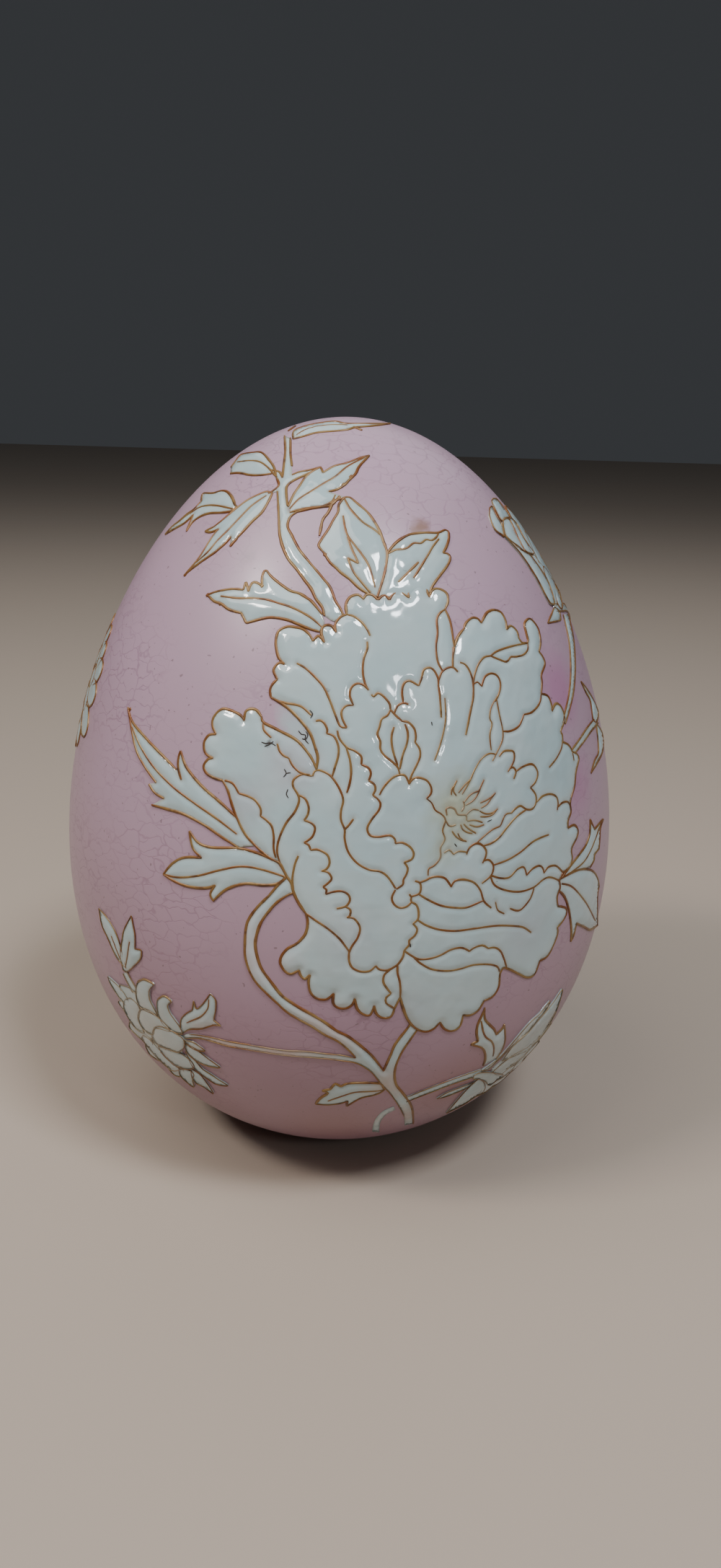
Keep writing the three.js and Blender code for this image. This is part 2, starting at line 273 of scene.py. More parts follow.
tone = paint(tree, PINK, [
    (patches(tree, spots, CLOUD, 4, 0.35, 0.68), PINK_CLOUD),
    (patches(tree, spots, MOTTLE, 5, 0, 1, 0.35), PINK_MOTTLE),
    (faint_craze, CRACK_BROWN),
    (add(tree, "ShaderNodeMapRange", painted_foot_shade), PINK_PAINTED_SHADE),
    *((mark(tree, ragged, *place), tint) for *place, tint in GLAZE_MARKS),
    (patches(tree, spots, SPECK, 0, 0.81, 0.825, 0.6), SPECK_BROWN),
])
sunk = {"Height": sunk_craze, "Distance": CRACK_DEPTH, "Strength": 0.7}
plug(tree, tree.nodes["Principled BSDF"], {
    "Base Color": tone,
    "Roughness": 0.4,
    "Coat Weight": 0.25,
    "Coat Roughness": 0.22,
    "Normal": add(tree, "ShaderNodeBump", sunk),
})
egg.data.materials.append(pink)
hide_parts("egg")
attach(egg, "root")

# Raised enamel flower
# The real piece is thick white enamel, trailed inside gold outlines and fired onto the glaze,
# where it stands as low pillows. Each outlined area is filled with a mesh that swells gently from
# its edge strokes, and is pressed down along the lines where one petal folds over the next.

EDGE_RISE = 0.10 * MM
FLOWER_CROWN = 0.44 * MM
LINE_FLOOR = 0.24 * MM
SHOULDER = 1.5 * MM
SEAM_DEPTH = 0.5
SEAM_WIDTH = 0.9 * MM
SKIRT = 0.35 * MM
RIPPLE = 0.32
RIPPLE_LENGTH = 4.762 * MM
GRID = 2.8
ROW_STEP = 0.87
RIM_CLEARANCE = 0.55
LINE_WIDTH = 0.62 * MM
FINE_WIDTH = 0.36 * MM
LINE_PROUD = 0.17 * MM
INK = 0.12 * MM
THINNED_END = 0.12
TIP_WIDTH = 0.62
PROBE = 3 * MM
QUICK_WAVER = (1.1111 * MM, 0.28)
SLOW_WAVER = (3.846 * MM, 0.18)


def smooth(points, step):
    """A rounded curve through the points, with a point about every step."""
    ends = [points[0]] + list(points) + [points[-1]]
    curve = []
    for a, b, c, d in zip(ends, ends[1:], ends[2:], ends[3:]):
        pieces = max(1, round(math.dist(b, c) / step))
        for k in range(pieces):
            t = k / pieces
            weights = (
                -0.5 * t + t * t - 0.5 * t**3,
                1 - 2.5 * t * t + 1.5 * t**3,
                0.5 * t + 2 * t * t - 1.5 * t**3,
                -0.5 * t * t + 0.5 * t**3,
            )
            pulls = list(zip(weights, (a, b, c, d)))
            curve.append(tuple(sum(w * p[i] for w, p in pulls) for i in (0, 1)))
    curve.append(tuple(points[-1]))
    return curve


def ring_strokes(edge):
    """An edge is a list of strokes. Each one starts where the one before it stopped."""
    start = edge[-1][-1]
    strokes = []
    for stroke in edge:
        strokes.append([start] + list(stroke))
        start = stroke[-1]
    return strokes


def search_tree(points):
    """Finds the nearest of the points."""
    tree = kdtree.KDTree(len(points))
    for i, point in enumerate(points):
        tree.insert(point, i)
    tree.balance()
    return tree


def wavering(point, waver):
    length, share = waver
    return share * noise.noise(point / length)


class Shapes:
    """Gathers enamel faces, and the gold strokes that go with them."""

    def __init__(self):
        self.points, self.faces, self.nearness = [], [], []
        self.strokes = []
        self.piece = None

    def cushion(self, strokes, inner, place, step, crown, layer=0.0):
        """Fills a ring of strokes with swelling enamel, pressed down along inner lines."""
        ring = [p for stroke in strokes for p in smooth(stroke, step)[:-1]]
        xs, ys = [p[0] for p in ring], [p[1] for p in ring]
        rim_points = search_tree([(x, y, 0) for x, y in ring])
        flat = list(ring)
        for row in range(int((max(ys) - min(ys)) / (step * ROW_STEP)) + 1):
            y = min(ys) + row * step * ROW_STEP
            x = min(xs) + (row % 2) * step / 2
            while x < max(xs):
                if rim_points.find((x, y, 0))[2] > step * RIM_CLEARANCE:
                    flat.append((x, y))
                x += step
        loop = list(range(len(ring)))
        if sum(a[0] * b[1] - b[0] * a[1] for a, b in zip(ring, ring[1:] + ring[:1])) < 0:
            loop.reverse()
        corners_2d, _, faces, _, _, inside = delaunay_2d_cdt(
            [Vector(p) for p in flat], [], [loop], 0, 1e-5, True
        )
        spots = [place(p.x, p.y) for p in corners_2d]
        edges = search_tree([place(*p)[0] for line in strokes for p in smooth(line, step / 2)])
        seams = search_tree([place(*p)[0] for line in inner for p in smooth(line, step / 2)])
        kept = [face for face, owners in zip(faces, inside) if owners]
        number = {}
        for i in sorted({i for face in kept for i in face}):
            point, normal = spots[i]
            away = edges.find(point)[2]
            swell = math.sin(min(1.0, max(0.0, (away - LINE_FLOOR) / SHOULDER)) * math.pi / 2)
            if inner:
                seam = seams.find(point)[2]
                away = min(away, seam)
                swell *= 1 - SEAM_DEPTH * math.cos(min(1.0, seam / SEAM_WIDTH) * math.pi / 2)
            ripple = 1 + RIPPLE * noise.noise(point / RIPPLE_LENGTH)
            rise = layer + EDGE_RISE + (crown - EDGE_RISE) * swell * ripple
            number[i] = len(self.points)
            self.points.append(point + normal * rise)
            self.nearness.append(away / MM)
        sides = {}
        for face in kept:
            corners = [number[i] for i in face]
            a, b, c = (self.points[i] for i in corners[:3])
            if (b - a).cross(c - a).dot(spots[face[0]][1]) < 0:
                corners.reverse()
            self.faces.append(corners)
            sides.update(dict.fromkeys(zip(corners, corners[1:] + corners[:1])))
        rim = [(i, j) for i, j in sides if (j, i) not in sides]
        source = {made: i for i, made in number.items()}
        foot = {}
        for i in sorted({i for pair in rim for i in pair}):
            point, normal = spots[source[i]]
            foot[i] = len(self.points)
            self.points.append(point - normal * SKIRT)
            self.nearness.append(0.0)
        for i, j in rim:
            self.faces.append([j, i, foot[i], foot[j]])

    def line(self, points, place, step, width, layer=0.0):
        """A gold brush stroke along points, thinning at both ends."""
        self.strokes.append((smooth(points, step), place, width, layer))

    def on_top(self, place):
        """Places on the finished enamel instead of on the egg."""

        def raised(x, y):
            point, normal = place(x, y)
            found, spot, _, _ = self.piece.ray_cast(point + normal * PROBE, -normal)
            return (spot if found else point) - normal * (EDGE_RISE + LINE_PROUD - INK), normal

        return raised

    def shape(self, edge, place, step, crown, bare=(), inner=(), fine=(), width=None, layer=0.0):
        """One outlined area: its edge strokes, some of them bare of gold, and its inner lines."""
        strokes = ring_strokes(edge)
        width = width or LINE_WIDTH
        self.cushion(strokes, list(inner) + list(fine), place, step, crown, layer)
        for number, stroke in enumerate(strokes):
            if number not in bare:
                self.line(stroke, place, step, width, layer)
        for points in inner:
            self.line(points, self.on_top(place), step, width)
        for points in fine:
            self.line(points, self.on_top(place), step, FINE_WIDTH)

    def enamel_piece(self, name):
        mesh = bpy.data.meshes.new(name)
        mesh.from_pydata(self.points, [], self.faces)
        distance = mesh.attributes.new("line_distance", "FLOAT", "POINT")
        distance.data.foreach_set("value", self.nearness)
        mesh.validate()
        mesh.shade_smooth()
        self.piece = bpy.data.objects.new(name, mesh)
        bpy.context.collection.objects.link(self.piece)
        return self.piece

    def gold_piece(self, name):
        """Every stroke as a thin bar, its width wavering as a brush line does."""
        curve = bpy.data.curves.new(name, "CURVE")
        curve.dimensions = "3D"
        curve.bevel_depth = MM
        curve.bevel_resolution = 1
        curve.use_fill_caps = True
        for path, place, width, layer in self.strokes:
            spline = curve.splines.new("POLY")
            spline.points.add(len(path) - 1)
            length = 0.0
            whole = sum(math.dist(a, b) for a, b in zip(path, path[1:]))
            for k, (x, y) in enumerate(path):
                if k:
                    length += math.dist(path[k - 1], path[k])
                point, normal = place(x, y)
                end = min(1.0, min(length, whole - length) / max(whole * THINNED_END, 1e-6))
                waver = 1 + wavering(point, QUICK_WAVER) + wavering(point, SLOW_WAVER)
                radius = width / 2 * waver * (TIP_WIDTH + (1 - TIP_WIDTH) * end)
                lifted = point + normal * (layer + EDGE_RISE + LINE_PROUD - radius)
                spline.points[k].co = (*lifted, 1)
                spline.points[k].radius = radius / MM
        piece = bpy.data.objects.new(name, curve)
        bpy.context.collection.objects.link(piece)
        bpy.ops.object.select_all(action="DESELECT")
        bpy.context.view_layer.objects.active = piece
        piece.select_set(True)
        bpy.ops.object.convert(target="MESH")
        bpy.ops.object.shade_smooth()
        return bpy.context.object


# The rim of the open flower, one scallop after another, anticlockwise as seen
FLOWER_RIM = [
    [(430, 881), (421, 873), (410, 870), (399, 869), (388, 874), (384, 882), (383, 895), (387, 912),
     (395, 921)],
    [(388, 919), (382, 924), (380, 931), (385, 942)],
    [(379, 948), (375, 956), (376, 967)],
    [(387, 973), (400, 982), (416, 998), (430, 1016), (437, 1035), (441, 1050), (439, 1066)],
    [(430, 1048), (412, 1027), (387, 1013), (366, 1002), (363, 994)],
    [(356, 985), (348, 983), (341, 987), (339, 999)],
    [(335, 993), (325, 987), (309, 983), (297, 994), (295, 1006), (300, 1018)],
    [(291, 1019), (284, 1028), (284, 1040), (288, 1047), (296, 1051)],
    [(289, 1053), (283, 1062), (287, 1072), (297, 1078), (309, 1082)],
    [(316, 1095), (322, 1115), (329, 1134), (340, 1156), (355, 1173), (371, 1187), (383, 1194)],
    [(389, 1198), (398, 1215), (404, 1224), (407, 1236), (414, 1251), (424, 1266)],
    [(427, 1278), (424, 1294), (413, 1307), (397, 1317), (389, 1330), (392, 1342), (402, 1350),
     (415, 1345)],
    [(417, 1352), (423, 1357), (430, 1351)],
    [(428, 1362), (431, 1376), (440, 1384), (453, 1385), (463, 1377)],
    [(462, 1389), (467, 1396), (478, 1398), (488, 1393), (492, 1384)],
    [(495, 1397), (502, 1405), (513, 1407), (519, 1394)],
    [(522, 1405), (531, 1411), (542, 1409), (547, 1398)],
    [(551, 1390), (555, 1382)],
    [(559, 1397), (566, 1414), (576, 1425), (589, 1430), (601, 1426), (610, 1417)],
    [(616, 1426), (626, 1429), (637, 1423), (642, 1407)],
    [(652, 1407), (663, 1400), (671, 1387)],
    [(683, 1381), (691, 1368), (693, 1350), (698, 1341)],
    [(707, 1344), (719, 1350), (731, 1355), (741, 1350), (748, 1332)],
    [(759, 1325), (768, 1308), (773, 1293), (772, 1286)],
    [(779, 1278), (785, 1267), (784, 1259), (773, 1256)],
    [(772, 1243), (776, 1231), (775, 1221)],
    [(780, 1210)],
    [(789, 1202), (793, 1190), (792, 1177), (799, 1162), (801, 1151), (796, 1144), (787, 1148)],
    [(787, 1138), (791, 1126), (790, 1115), (791, 1107)],
    [(796, 1090), (798, 1070), (802, 1052), (799, 1045)],
    [(793, 1042)],
    [(788, 1033), (780, 1029)],
    [(779, 1018), (777, 1014), (782, 1000), (781, 988), (776, 978), (770, 976), (765, 986)],
    [(764, 976), (759, 965), (750, 962)],
    [(751, 946), (750, 936), (755, 921), (752, 911), (747, 904)],
    [(749, 890), (746, 873), (739, 862), (733, 858), (727, 865), (729, 876), (732, 888),
     (731, 892)],
    [(723, 891), (719, 885)],
    [(716, 875), (708, 868), (702, 873)],
    [(701, 862), (695, 850), (685, 846), (675, 850), (667, 864)],
    [(662, 858), (654, 857), (646, 864), (643, 872)],
    [(635, 883), (630, 897)],
    [(628, 885), (624, 862), (617, 845)],
    [(621, 834), (619, 823), (609, 817), (600, 818), (595, 828)],
    [(589, 814), (580, 808), (571, 812), (566, 820), (567, 829)],
    [(556, 822), (545, 824), (540, 832)],
    [(533, 825), (524, 832)],
    [(516, 825), (508, 825), (504, 831)],
    [(497, 825), (486, 828), (480, 838), (481, 852)],
    [(472, 856), (465, 866), (466, 877)],
    [(461, 869), (453, 867), (447, 871), (446, 880), (450, 891)],
    [(446, 885), (441, 882), (434, 889)],
]
# Where one petal folds over the next, in firm strokes and in fine ones
PETAL_FOLDS = [
    [(312, 1082), (320, 1084), (326, 1089), (332, 1100)],
    [(332, 1100), (339, 1102), (347, 1105), (355, 1110), (362, 1121), (362, 1131)],
    [(362, 1131), (370, 1137), (377, 1145), (380, 1159), (380, 1176), (383, 1189)],
    [(387, 972), (397, 975), (409, 977), (420, 981), (432, 992)],
    [(438, 1000), (444, 999), (450, 1003), (454, 1012), (453, 1017)],
    [(453, 1017), (463, 1021), (469, 1034), (469, 1048), (464, 1065), (461, 1076)],
    [(365, 1003), (367, 1013), (377, 1023)],
    [(385, 1031), (388, 1041), (394, 1048), (401, 1051)],
    [(401, 1051), (406, 1061), (415, 1070), (425, 1074), (433, 1076)],
    [(434, 1076), (436, 1070), (443, 1068), (455, 1073), (463, 1081), (471, 1094), (476, 1109),
     (473, 1124), (473, 1137), (478, 1150), (478, 1163), (483, 1181), (495, 1196), (511, 1205),
     (527, 1208), (538, 1216), (548, 1231)],
    [(430, 1074), (418, 1074), (408, 1081), (407, 1090), (414, 1102), (415, 1112), (409, 1126),
     (397, 1142), (388, 1162), (385, 1180), (389, 1198)],
    [(414, 1102), (423, 1107), (428, 1118), (427, 1129), (422, 1137)],
    [(422, 1137), (432, 1141), (437, 1148), (433, 1160), (422, 1168)],
    [(422, 1168), (428, 1171), (431, 1178)],
    [(431, 1178), (442, 1178), (454, 1185), (457, 1196), (453, 1204), (446, 1207)],
    [(446, 1207), (455, 1209), (460, 1217), (456, 1223), (448, 1229)],
    [(448, 1229), (453, 1233), (452, 1239)],
    [(452, 1239), (462, 1236), (474, 1235), (483, 1240), (485, 1248), (479, 1256), (467, 1259)],
    [(479, 1256), (486, 1261), (485, 1269), (481, 1271)],
    [(481, 1271), (491, 1273), (499, 1285), (496, 1299), (488, 1311), (484, 1320)],
    [(490, 1135), (485, 1142), (478, 1150)],
    [(414, 1186), (409, 1199), (406, 1218), (407, 1234)],
    [(424, 1266), (437, 1275), (455, 1287), (471, 1301), (484, 1318)],
    [(484, 1318), (484, 1331), (489, 1341), (501, 1346), (513, 1345), (521, 1338)],
    [(521, 1338), (526, 1343), (537, 1344), (547, 1339), (552, 1335), (558, 1326), (560, 1317)],
    [(560, 1317), (567, 1309), (567, 1303), (575, 1296), (578, 1287), (572, 1280)],
    [(572, 1280), (579, 1274), (580, 1263), (577, 1254), (570, 1250)],
    [(570, 1250), (564, 1256), (554, 1258), (546, 1253), (543, 1244), (548, 1233)],
    [(575, 1221), (582, 1224), (583, 1233), (580, 1239), (570, 1243), (570, 1250)],
    [(570, 1243), (567, 1239)],
    [(582, 1223), (590, 1220), (598, 1216), (608, 1215), (617, 1218), (625, 1229)],
    [(625, 1229), (630, 1221), (642, 1219), (656, 1223), (665, 1234), (670, 1249), (680, 1258)],
    [(580, 1239), (593, 1247), (611, 1255), (632, 1258), (648, 1257), (669, 1248)],
    [(579, 1275), (590, 1282), (608, 1288), (630, 1290), (655, 1287), (685, 1283), (708, 1283),
     (724, 1285), (735, 1292)],
    [(560, 1317), (570, 1324), (581, 1329), (596, 1328), (611, 1323), (624, 1316), (637, 1313),
     (645, 1315), (650, 1318)],
    [(650, 1318), (657, 1313), (668, 1310), (676, 1314)],
    [(676, 1314), (685, 1313), (693, 1318), (698, 1329), (702, 1340)],
    [(574, 1327), (583, 1335), (599, 1343), (620, 1345), (638, 1342), (655, 1337), (675, 1336),
     (688, 1339), (692, 1346)],
    [(551, 1336), (551, 1348), (554, 1360), (555, 1372), (555, 1382)],
    [(541, 1343), (533, 1350), (531, 1360), (536, 1369), (542, 1376)],
    [(542, 1376), (535, 1382), (535, 1389), (541, 1394), (547, 1398)],
    [(468, 1013), (471, 1024), (481, 1036), (492, 1041), (501, 1049), (501, 1060)],
    [(501, 1060), (511, 1065), (514, 1073), (511, 1082)],
    [(511, 1082), (519, 1088), (520, 1096), (517, 1102), (522, 1106)],
    [(522, 1106), (527, 1113), (525, 1123), (515, 1136), (509, 1148), (513, 1158), (525, 1160),
     (540, 1158), (547, 1163), (548, 1169)],
    [(548, 1169), (557, 1168), (568, 1174), (573, 1183), (570, 1191), (560, 1195)],
    [(560, 1195), (565, 1203), (563, 1212), (559, 1219), (558, 1226), (549, 1232)],
    [(480, 1036), (485, 1052), (487, 1070), (485, 1086), (481, 1099)],
    [(526, 1102), (532, 1091), (543, 1079), (554, 1074), (562, 1076), (567, 1087)],
    [(567, 1087), (572, 1080), (580, 1078), (591, 1082), (597, 1091), (597, 1100), (591, 1107)],
    [(541, 984), (537, 992), (529, 997), (526, 1008), (523, 1018), (527, 1028), (527, 1038),
     (532, 1047), (543, 1056), (551, 1064), (554, 1074)],
    [(546, 1008), (543, 1019), (543, 1032), (546, 1046), (551, 1061)],
    [(561, 1004), (565, 1016), (564, 1030), (558, 1047), (554, 1066)],
    [(556, 1000), (566, 1002), (574, 1011), (576, 1022), (575, 1029)],
    [(575, 1029), (581, 1038), (582, 1048), (578, 1059), (570, 1075), (567, 1086)],
    [(412, 920), (424, 927), (438, 940), (449, 953), (457, 970), (465, 991), (472, 1007),
     (481, 1009)],
    [(511, 957), (504, 950), (495, 948), (487, 954), (485, 965), (490, 978)],
    [(490, 978), (480, 979), (474, 986), (475, 997), (481, 1009)],
    [(515, 963), (518, 966), (524, 961), (532, 966), (540, 976), (541, 984)],
    [(481, 852), (492, 856), (503, 865), (510, 875), (513, 882)],
    [(509, 890), (509, 900), (504, 915), (503, 933), (506, 948), (511, 957)],
    [(617, 845), (609, 851), (605, 860), (606, 878), (604, 896), (606, 917), (613, 931)],
    [(541, 984), (546, 990), (552, 996), (557, 1000)],
    [(546, 990), (551, 979), (559, 975), (566, 977)],
    [(559, 975), (557, 962), (559, 949), (567, 944), (580, 951)],
    [(580, 951), (584, 940), (587, 929), (595, 926), (602, 931), (607, 942), (607, 951)],
    [(607, 945), (612, 932), (621, 926), (628, 926), (634, 932)],
    [(607, 951), (609, 965), (611, 995)],
    [(628, 897), (627, 911), (627, 925)],
    [(630, 897), (627, 911), (627, 925)],
    [(679, 910), (687, 904), (700, 899), (715, 895), (731, 892)],
    [(731, 890), (731, 900), (725, 908), (715, 911), (707, 911)],
    [(707, 911), (701, 918), (691, 915), (679, 910)],
    [(679, 910), (670, 912), (662, 922), (657, 937), (655, 950)],
    [(637, 919), (644, 922), (651, 933), (655, 948), (655, 968), (651, 988), (645, 1019)],
    [(667, 952), (671, 939), (680, 934), (689, 938), (693, 950), (690, 964), (685, 973)],
    [(696, 1014), (706, 1014), (718, 1007), (725, 991)],
    [(725, 991), (736, 988), (746, 977), (750, 962)],
    [(779, 1018), (780, 1026), (776, 1040), (769, 1053), (760, 1064)],
    [(793, 1042), (794, 1055)],
    [(691, 1049), (697, 1042), (706, 1041), (711, 1043), (711, 1055), (703, 1070)],
    [(705, 1066), (710, 1064), (714, 1070), (711, 1080)],
    [(714, 1070), (724, 1063), (737, 1060), (744, 1071), (741, 1084), (734, 1092)],
    [(734, 1092), (741, 1101), (742, 1112), (737, 1121), (729, 1122), (720, 1117), (712, 1122),
     (708, 1127)],
    [(729, 1122), (715, 1132), (702, 1147), (691, 1161), (680, 1169), (670, 1172)],
    [(743, 1112), (751, 1104), (761, 1101), (769, 1104), (772, 1112), (771, 1123)],
    [(772, 1119), (778, 1113), (786, 1112), (791, 1119)],
    [(646, 1184), (650, 1175), (659, 1169), (667, 1171), (673, 1179), (672, 1188), (668, 1196)],
    [(670, 1193), (677, 1192), (683, 1200), (680, 1213), (667, 1224)],
    [(683, 1199), (700, 1193), (719, 1182), (739, 1166), (759, 1157)],
    [(679, 1213), (692, 1217), (705, 1216), (716, 1205), (725, 1202), (729, 1213)],
    [(729, 1213), (736, 1205), (746, 1200), (751, 1203), (753, 1210)],
    [(753, 1210), (759, 1202), (769, 1200), (776, 1206), (781, 1210)],
    [(679, 1214), (684, 1226), (697, 1233), (718, 1236), (738, 1230), (752, 1219), (762, 1216),
     (775, 1221)],
    [(739, 1231), (734, 1245), (725, 1257), (717, 1262), (706, 1259)],
]
FINE_FOLDS = [
    [(591, 1107), (598, 1113), (603, 1123), (612, 1129), (617, 1137), (613, 1151), (616, 1163),
     (610, 1175), (610, 1188), (602, 1199), (594, 1204), (593, 1213)],
    [(616, 968), (617, 998), (611, 1028), (602, 1054)],
    [(656, 949), (661, 946), (667, 952)],
    [(688, 966), (680, 981), (678, 996), (681, 1004), (678, 1020), (680, 1040)],
    [(687, 968), (691, 990), (696, 1014), (695, 1028), (688, 1043), (682, 1055)],
    [(687, 1046), (677, 1045), (666, 1053), (657, 1068), (650, 1084), (640, 1101)],
    [(708, 1127), (700, 1129), (695, 1139), (692, 1145), (680, 1151), (661, 1167)],
    [(686, 1250), (689, 1261), (698, 1266)],
    [(615, 1182), (622, 1178), (628, 1184)],
    [(628, 1184), (635, 1180), (646, 1181)],
]
# Pistil and stamens in the heart of the flower, in the finest lines
HEART = [
    [(619, 1130), (618, 1121), (624, 1119), (630, 1122), (634, 1129), (645, 1130), (646, 1137)],
    [(618, 1138), (621, 1144), (626, 1145), (631, 1143)],
    [(645, 1130), (650, 1125), (655, 1122), (663, 1123)],
    [(639, 1125), (642, 1120), (643, 1115), (641, 1111)],
    [(632, 1103), (628, 1097), (629, 1090), (633, 1082)],
    [(625, 1102), (626, 1093), (629, 1090)],
    [(635, 1099), (644, 1088), (652, 1080)],
    [(643, 1112), (650, 1103), (656, 1099), (663, 1096), (666, 1090), (670, 1081)],
    [(645, 1116), (655, 1110), (661, 1102), (665, 1093)],
    [(665, 1113), (672, 1110), (680, 1105), (686, 1099)],
    [(666, 1120), (674, 1115), (680, 1107), (686, 1099)],
    [(664, 1124), (672, 1128), (681, 1127), (689, 1121)],
    [(665, 1132), (674, 1132), (682, 1129), (688, 1122)],
    [(647, 1138), (655, 1137), (662, 1138), (668, 1140)],
    [(650, 1143), (660, 1146), (670, 1143)],
    [(638, 1143), (641, 1150), (648, 1154), (654, 1155)],
    [(642, 1142), (648, 1148), (654, 1152), (659, 1155)],
    [(626, 1152), (631, 1159), (638, 1164), (646, 1166)],
    [(634, 1155), (637, 1161), (641, 1164)],
]

flower = Shapes()
flower.shape(FLOWER_RIM, on_sheet, GRID, FLOWER_CROWN, inner=PETAL_FOLDS, fine=FINE_FOLDS + HEART)
flower_enamel = flower.enamel_piece("flower_enamel")

# White enamel, thick and very glossy: small bright glints sit on the swellings. It is a grey
# white with a green cast, stained yellow-brown beside the gold, pinkish where it lies thin, and
# pitted in a few places where bubbles burst.

WHITE = "#acc2c5"
WHITE_CLOUD = "#b6c7c8"
WHITE_MOTTLE = "#a9bcbe"
LINE_STAIN = "#a0947c"
PIT_BROWN = "#4a4038"
PIT_STRENGTH = 0.85
ENAMEL_CLOUD = 8.333 * MM
ENAMEL_MOTTLE = 2.381 * MM
ENAMEL_LUMP = 3.333 * MM
LUMP_HEIGHT = 0.35 * MM
PIT_WANDER = (0.7143 * MM, 1.1 * MM)
# Each pit's place on the drawing sheet and its radius in mm
ENAMEL_PITS = [
    (421, 1022, 1.1), (373, 1031, 0.9), (364, 1032, 0.5), (568, 1310, 0.6), (597, 1003, 0.4),
    (688, 1222, 0.35), (630, 1138, 0.4), (700, 1300, 0.3), (455, 957, 0.5), (560, 792, 0.5),
    (475, 1160, 0.3), (612, 1215, 0.3),
]
# Patches that show pink or have yellowed: place on the sheet, radius in mm, strength and colour
ENAMEL_TINTS = [
    (632, 1122, 7.5, 0.75, "#a8a88a"), (612, 1180, 4.5, 0.4, "#a8a888"),
    (405, 1060, 7.0, 0.35, "#b09fa6"), (340, 1110, 6.0, 0.3, "#b09fa6"),
    (560, 1400, 7.0, 0.2, "#a09aa4"), (480, 1300, 8.0, 0.2, "#a79ca4"),
    (730, 1290, 8.0, 0.25, "#9c9aa6"), (545, 1500, 7.0, 0.6, "#b39a90"),
    (562, 1545, 6.0, 0.6, "#a88c82"), (450, 1430, 10.0, 0.6, "#c6b3ae"),
    (350, 1320, 10.0, 0.55, "#c6b4b6"), (215, 1420, 14.0, 0.35, "#b6ab9c"),
    (720, 1440, 14.0, 0.4, "#b3a79a"), (310, 1449, 8.0, 0.8, "#c6aea8"),
    (390, 1462, 8.0, 0.8, "#c6aea8"),
]

white, tree = start_material("white_enamel")
spots = add(tree, "ShaderNodeTexCoord", {}, "Object")
line_distance = add(tree, "ShaderNodeAttribute", {}, "Fac", attribute_name="line_distance")
beside = {"Value": line_distance, "From Min": 0.15, "From Max": 0.6, "To Min": 0.55, "To Max": 0}
height = add(tree, "ShaderNodeSeparateXYZ", {"Vector": spots}, "Z")
higher = {"Value": height, "From Min": 40 * MM, "From Max": 55 * MM, "To Min": 0.3}
stains = {0: add(tree, "ShaderNodeMapRange", beside), 1: add(tree, "ShaderNodeMapRange", higher)}
gentle = wander(tree, spots, *GENTLE_WANDER)
broken = wander(tree, spots, *PIT_WANDER)
tone = paint(tree, WHITE, [
    (patches(tree, spots, ENAMEL_CLOUD, 3, 0.35, 0.7), WHITE_CLOUD),
    (patches(tree, spots, ENAMEL_MOTTLE, 4, 0, 1, 0.4), WHITE_MOTTLE),
    (add(tree, "ShaderNodeMath", stains, operation="MULTIPLY"), LINE_STAIN),
    *((mark(tree, gentle, *place), tint) for *place, tint in ENAMEL_TINTS),
    *((mark(tree, broken, *pit, PIT_STRENGTH), PIT_BROWN) for pit in ENAMEL_PITS),
])
lumps = patches(tree, spots, ENAMEL_LUMP, 1, 0, 1)
swollen = {"Height": lumps, "Distance": LUMP_HEIGHT, "Strength": 0.55}
plug(tree, tree.nodes["Principled BSDF"], {
    "Base Color": tone,
    "Roughness": 0.08,
    "IOR": 1.68,
    "Normal": add(tree, "ShaderNodeBump", swollen),
})
flower_enamel.data.materials.append(white)
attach(flower_enamel, "root")

# Raised enamel leaves and stems
# The real pieces are the same white enamel, trailed inside gold outlines as long leaves with a
# few sharp teeth, on two bent stems. Each is filled between its own edge strokes, with its veins
# pressed in, and stands a little lower than the flower.

LEAF_CROWN = 0.36 * MM

LEFT_UPPER_LEAF = [
    [(184, 1001), (203, 1024), (224, 1046), (245, 1067)],
    [(252, 1081)],
    [(248, 1066), (248, 1052), (251, 1041)],
    [(259, 1064), (280, 1090), (304, 1111), (329, 1134)],
    [(340, 1156), (355, 1173)],
    [(331, 1175)],
    [(306, 1159), (284, 1144), (256, 1129), (233, 1122), (211, 1116)],
    [(228, 1107)],
    [(215, 1099), (207, 1087)],
    [(217, 1085)],
    [(200, 1061), (188, 1035), (178, 981)],
]
LEFT_LOWER_LEAF = [
    [(240, 1197), (256, 1189), (280, 1189)],
    [(268, 1176), (263, 1152)],
    [(275, 1168), (294, 1175), (331, 1176), (358, 1183), (383, 1194)],
    [(397, 1216)],
    [(385, 1225), (365, 1227), (340, 1225), (314, 1233), (296, 1249)],
    [(292, 1239), (299, 1227)],
    [(286, 1231), (262, 1229), (243, 1222), (227, 1212)],
]
CALYX_LEFT = [
    [(303, 820), (322, 817), (338, 818)],
    [(341, 807)],
    [(345, 819)],
    [(350, 809), (356, 808), (364, 813)],
    [(364, 800), (367, 792), (370, 791)],
    [(375, 798), (385, 807), (402, 819), (415, 823), (425, 829), (433, 835), (447, 852)],
    [(450, 866), (443, 876)],
    [(430, 872), (413, 865), (397, 859), (377, 856), (363, 858), (352, 861), (342, 864)],
    [(335, 850)],
    [(318, 845), (307, 837), (298, 834), (288, 825)],
]
CALYX_MIDDLE = [
    [(485, 690), (495, 698), (510, 711), (520, 725), (527, 738), (532, 752), (536, 763),
     (537, 772), (535, 787), (532, 800), (528, 813), (523, 828)],
    [(512, 824)],
    [(498, 815), (485, 803), (473, 794), (467, 788), (458, 780), (451, 769), (447, 764)],
    [(442, 757), (445, 750), (455, 735), (462, 722), (469, 710), (470, 700), (478, 690)],
]
